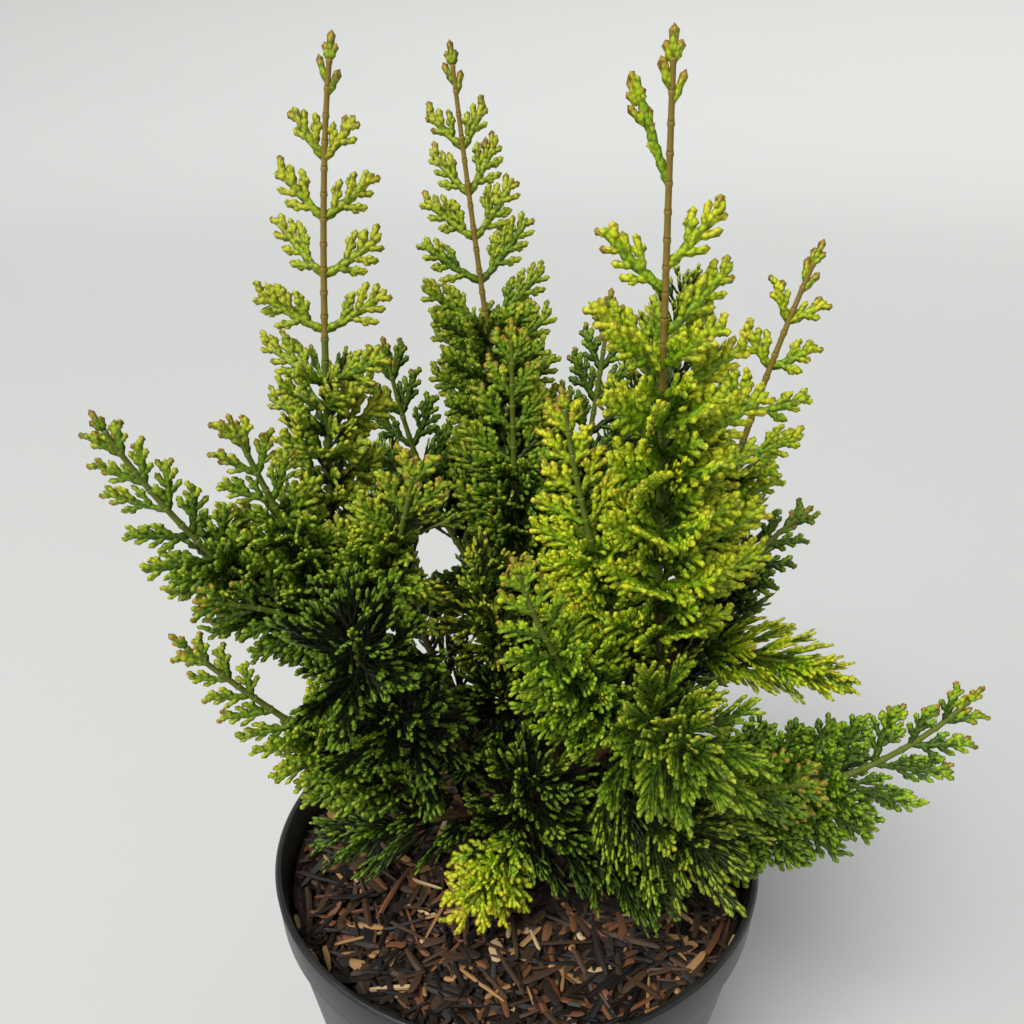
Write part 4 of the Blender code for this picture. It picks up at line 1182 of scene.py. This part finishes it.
def model_chip(seed):
    """A chip of unit length, width and thickness, with a crooked run and slanted ends."""
    chance = random.Random(seed)
    item = ring_form("chip", CHIP_SIDES, chip_rings(chance))
    corners, faces = take_arrays(item)
    bow = chance.uniform(-0.5, 0.5)
    slant = chance.uniform(-0.16, 0.16)
    corners[:, 1] += bow * (corners[:, 2] - 0.5) ** 2
    corners[:, 2] += slant * corners[:, 0]
    corners[:, 0] += chance.uniform(-0.3, 0.3) * np.sin(3.0 * corners[:, 2])
    return corners, faces, np.zeros(len(faces), dtype=int)


def chip_ends(middle, forward, length):
    return [middle + 0.5 * sign * length * forward for sign in (1, -1)]


def reach_of_chip(middle, forward, length):
    """How far a chip's further end lies from the pot's middle."""
    return max(math.hypot(end[0], end[1]) for end in chip_ends(middle, forward, length))


class CYPRESS_OT_mulch(bpy.types.Operator):
    """Fill the pot with compost and cover it with chipped bark"""
    bl_idname = "cypress.mulch"
    bl_label = "Compost and bark mulch"

    def execute(self, context):
        self.compost()
        self.chips(context.scene.cypress.chip_count, context.scene.cypress.chip_seed)
        return {"FINISHED"}

    def compost(self):
        deselect()
        foot, top = WALL_THICKNESS + 0.3 * MM, MULCH_LEVEL - EDGE_DROP
        edge = inner_radius(top) - COMPOST_GAP
        rings = [(foot, inner_radius(foot) - COMPOST_GAP), (top, edge)]
        rings += [(top, edge * (1 - k / COMPOST_STEPS)) for k in range(1, COMPOST_STEPS)]
        item = ring_form("peat_compost", 96, rings)
        for corner in item.data.vertices:
            x, y, z = corner.co
            if z > top - 1 * MM:
                crumbs = noise.fractal(Vector((x, y, 0.0)) / (3.0 * MM), 0.9, 2.0, 4)
                corner.co.z = mulch_height(x, y) - COMPOST_DEPTH + CRUMB_HEIGHT * crumbs
        smooth(item)
        item.data.materials.append(peaty_compost())
        deliver(item, "bark_mulch", "compost_and_mulch")

    def chips(self, chip_count, seed):
        """Chips strewn from the lowest to the topmost, each laid flat or turned along the wall."""
        chance = random.Random(seed)
        forms = {k + 1: model_chip(seed + k) for k in range(CHIP_FORMS)}
        bunch = Bunch()
        wall = inner_radius(MULCH_LEVEL)
        weights = [weight for shade, weight in CHIP_COLOURS.values()]
        for k in range(chip_count):
            kind = chance.random()
            spans = next(spans for until, *spans in CHIP_KINDS if kind < until)
            size = [chance.uniform(*span) * MM for span in spans]
            heading = chance.uniform(0.0, 2 * math.pi)
            away = (wall - 2.5 * MM) * math.sqrt(chance.random())
            turn = chance.uniform(0.0, 2 * math.pi)
            middle = np.array([away * math.cos(turn), away * math.sin(turn), 0.0])
            dip = chance.gauss(0.0, CHIP_DIP)
            forward = unit(np.array([math.cos(heading), math.sin(heading), dip]))
            if reach_of_chip(middle, forward, size[0]) > wall - WALL_MARGIN:
                forward = unit(np.array([-math.sin(turn), math.cos(turn), dip]))
                if reach_of_chip(middle, forward, size[0]) > wall - 1.0 * MM:
                    continue
            if math.hypot(middle[0] - TRUNK_FOOT[0], middle[1] - TRUNK_FOOT[1]) < TRUNK_FLARE_RADIUS:
                continue
            lift = (CHIP_BED + CHIP_COVER * (k / chip_count) + chance.uniform(-0.5, 0.6)) * MM
            ends = chip_ends(middle, forward, size[0])
            middle[2] = max(mulch_height(end[0], end[1]) for end in (*ends, middle)) + lift
            across = unit(np.cross(UP, forward) + chance.gauss(0.0, CHIP_ROLL) * UP)
            across = unit(across - (across @ forward) * forward)
            root = middle - 0.5 * size[0] * forward
            tones = 3 * chance.choices(range(len(weights)), weights)
            form = chance.randint(1, CHIP_FORMS)
            bunch.add(root, forward, across, np.cross(forward, across), STRAIGHT, size, form, tones)
        materials = [chipped_bark(name, shade) for name, (shade, weight) in CHIP_COLOURS.items()]
        item = bunch.piece("bark_chips", forms, materials)
        smooth(item, 30)
        deliver(item, "bark_mulch")


# The stage: a pale floor, soft light and the camera

FLOOR_RADIUS = 2.2
# The floor sweeps up into a wall, through rings of (height, radius)
FLOOR_SWEEP = [(0.05, 2.6), (0.25, 2.95), (0.6, 3.15), (2.4, 3.2)]
WINDOW_PLACE = Vector((-1.0, -0.75, 1.35))
WINDOW_AIM = Vector((0.0, 0.0, 0.25))
WINDOW_SIZE = 0.8
SKY_TURN = (math.radians(34), math.radians(-20), 0.0)
SKY_POWER = 2.35
SKY_SPREAD = 26
ROOM_LIGHT = 0.36
CAMERA_PLACE = Vector((-1.7, -285.0, 395.0)) * MM
CAMERA_PITCH = 24.9
FOCAL_PIXELS = 1025
FRAME_PIXELS = 1024
SENSOR = 36


class CYPRESS_OT_stage(bpy.types.Operator):
    """Set the pale floor, the soft light and the camera"""
    bl_idname = "cypress.stage"
    bl_label = "Stage"

    def execute(self, context):
        settings = context.scene.cypress
        deselect()
        bpy.ops.mesh.primitive_circle_add(vertices=96, radius=FLOOR_RADIUS, fill_type="NGON")
        floor = context.object
        floor.name = "studio_floor"
        bpy.ops.object.mode_set(mode="EDIT")
        extrude_rings(FLOOR_SWEEP, FLOOR_RADIUS)
        bpy.ops.mesh.delete(type="ONLY_FACE")
        bpy.ops.object.mode_set(mode="OBJECT")
        smooth(floor)
        paint = new_material("matt_pale_floor", settings.floor_colour, 0.75, 0.2)[0]
        floor.data.materials.append(paint)
        bpy.ops.object.light_add(type="AREA", location=WINDOW_PLACE)
        window = context.object
        window.name = "tall_window"
        window.rotation_euler = (WINDOW_AIM - WINDOW_PLACE).to_track_quat("-Z", "Y").to_euler()
        window.data.size = WINDOW_SIZE
        window.data.energy = settings.window_power
        window.data.color = (1.0, 0.99, 0.965)
        bpy.ops.object.light_add(type="SUN", rotation=SKY_TURN)
        sky = context.object
        sky.name = "bright_sky"
        sky.data.energy = SKY_POWER
        sky.data.angle = math.radians(SKY_SPREAD)
        world = bpy.data.worlds.new("soft_room")
        world.use_nodes = True
        background = world.node_tree.nodes["Background"]
        background.inputs["Color"].default_value = (*linear("#E8EAEA"), 1.0)
        background.inputs["Strength"].default_value = ROOM_LIGHT
        context.scene.world = world
        context.scene.view_settings.view_transform = "Standard"
        bpy.ops.object.camera_add(location=CAMERA_PLACE,
                                  rotation=(math.radians(90 - CAMERA_PITCH), 0.0, 0.0))
        camera = context.object
        camera.data.sensor_width = SENSOR
        camera.data.lens = FOCAL_PIXELS / FRAME_PIXELS * SENSOR
        camera.data.clip_start = 0.01
        context.scene.camera = camera
        return {"FINISHED"}


def colour_setting(name, description, shade):
    return FloatVectorProperty(name=name, description=description, subtype="COLOR", default=linear(shade),
                               min=0.0, max=1.0)


def length_setting(name, description, default, least):
    return FloatProperty(name=name, description=description, subtype="DISTANCE", unit="LENGTH",
                         default=default, min=least)


class CypressSettings(bpy.types.PropertyGroup):
    floor_colour: colour_setting("Floor", "Colour of the matt floor", "#D3D4D2")
    window_power: FloatProperty(name="Window", description="Power of the soft light from the left",
                                unit="POWER", default=10.0, min=0.0)
    pot_colour: colour_setting("Pot", "Colour of the moulded plastic", "#171717")
    dust_colour: colour_setting("Dust", "Colour of the dust on the pot", "#2C2B2A")
    chip_count: IntProperty(name="Chips", description="How many chips of bark lie on the compost",
                            default=3200, min=0)
    chip_seed: IntProperty(name="Chip layout", description="Seed of the chips' places", default=7)
    bark_relief: length_setting("Bark relief", "Height of the bark's fibres and plates", 0.32 * MM, 0.0)
    bark_detail: length_setting("Bark detail", "Voxel size of the skin of the limbs", 0.5 * MM, 0.3 * MM)
    scale_size: length_setting("Scale leaf", "Width of a scale leaf", 1.25 * MM, 0.5 * MM)
    bough_spray: length_setting("Bough sprays", "Length of the sprays on the boughs", 24 * MM, 5 * MM)
    foliage_seed: IntProperty(name="Foliage", description="Seed of the sprays' small turns", default=20)


class CYPRESS_PT_panel(bpy.types.Panel):
    bl_label = "Potted hinoki cypress"
    bl_idname = "CYPRESS_PT_panel"
    bl_space_type = "VIEW_3D"
    bl_region_type = "UI"
    bl_category = "Cypress"

    def draw(self, context):
        for step in STEPS:
            self.layout.operator(step.bl_idname)
        for name in CypressSettings.__annotations__:
            self.layout.prop(context.scene.cypress, name)


STEPS = (CYPRESS_OT_stage, CYPRESS_OT_pot, CYPRESS_OT_mulch, CYPRESS_OT_limbs, CYPRESS_OT_stems,
         CYPRESS_OT_foliage)
CLASSES = (CypressSettings, *STEPS, CYPRESS_PT_panel)


def register():
    for item in CLASSES:
        bpy.utils.register_class(item)
    bpy.types.Scene.cypress = PointerProperty(type=CypressSettings)


def unregister():
    del bpy.types.Scene.cypress
    for item in reversed(CLASSES):
        bpy.utils.unregister_class(item)


def main():
    register()
    bpy.ops.cypress.stage()
    bpy.ops.cypress.pot()
    bpy.ops.cypress.mulch()
    bpy.ops.cypress.limbs()
    bpy.ops.cypress.stems()
    bpy.ops.cypress.foliage()


if __name__ == "__main__":
    main()
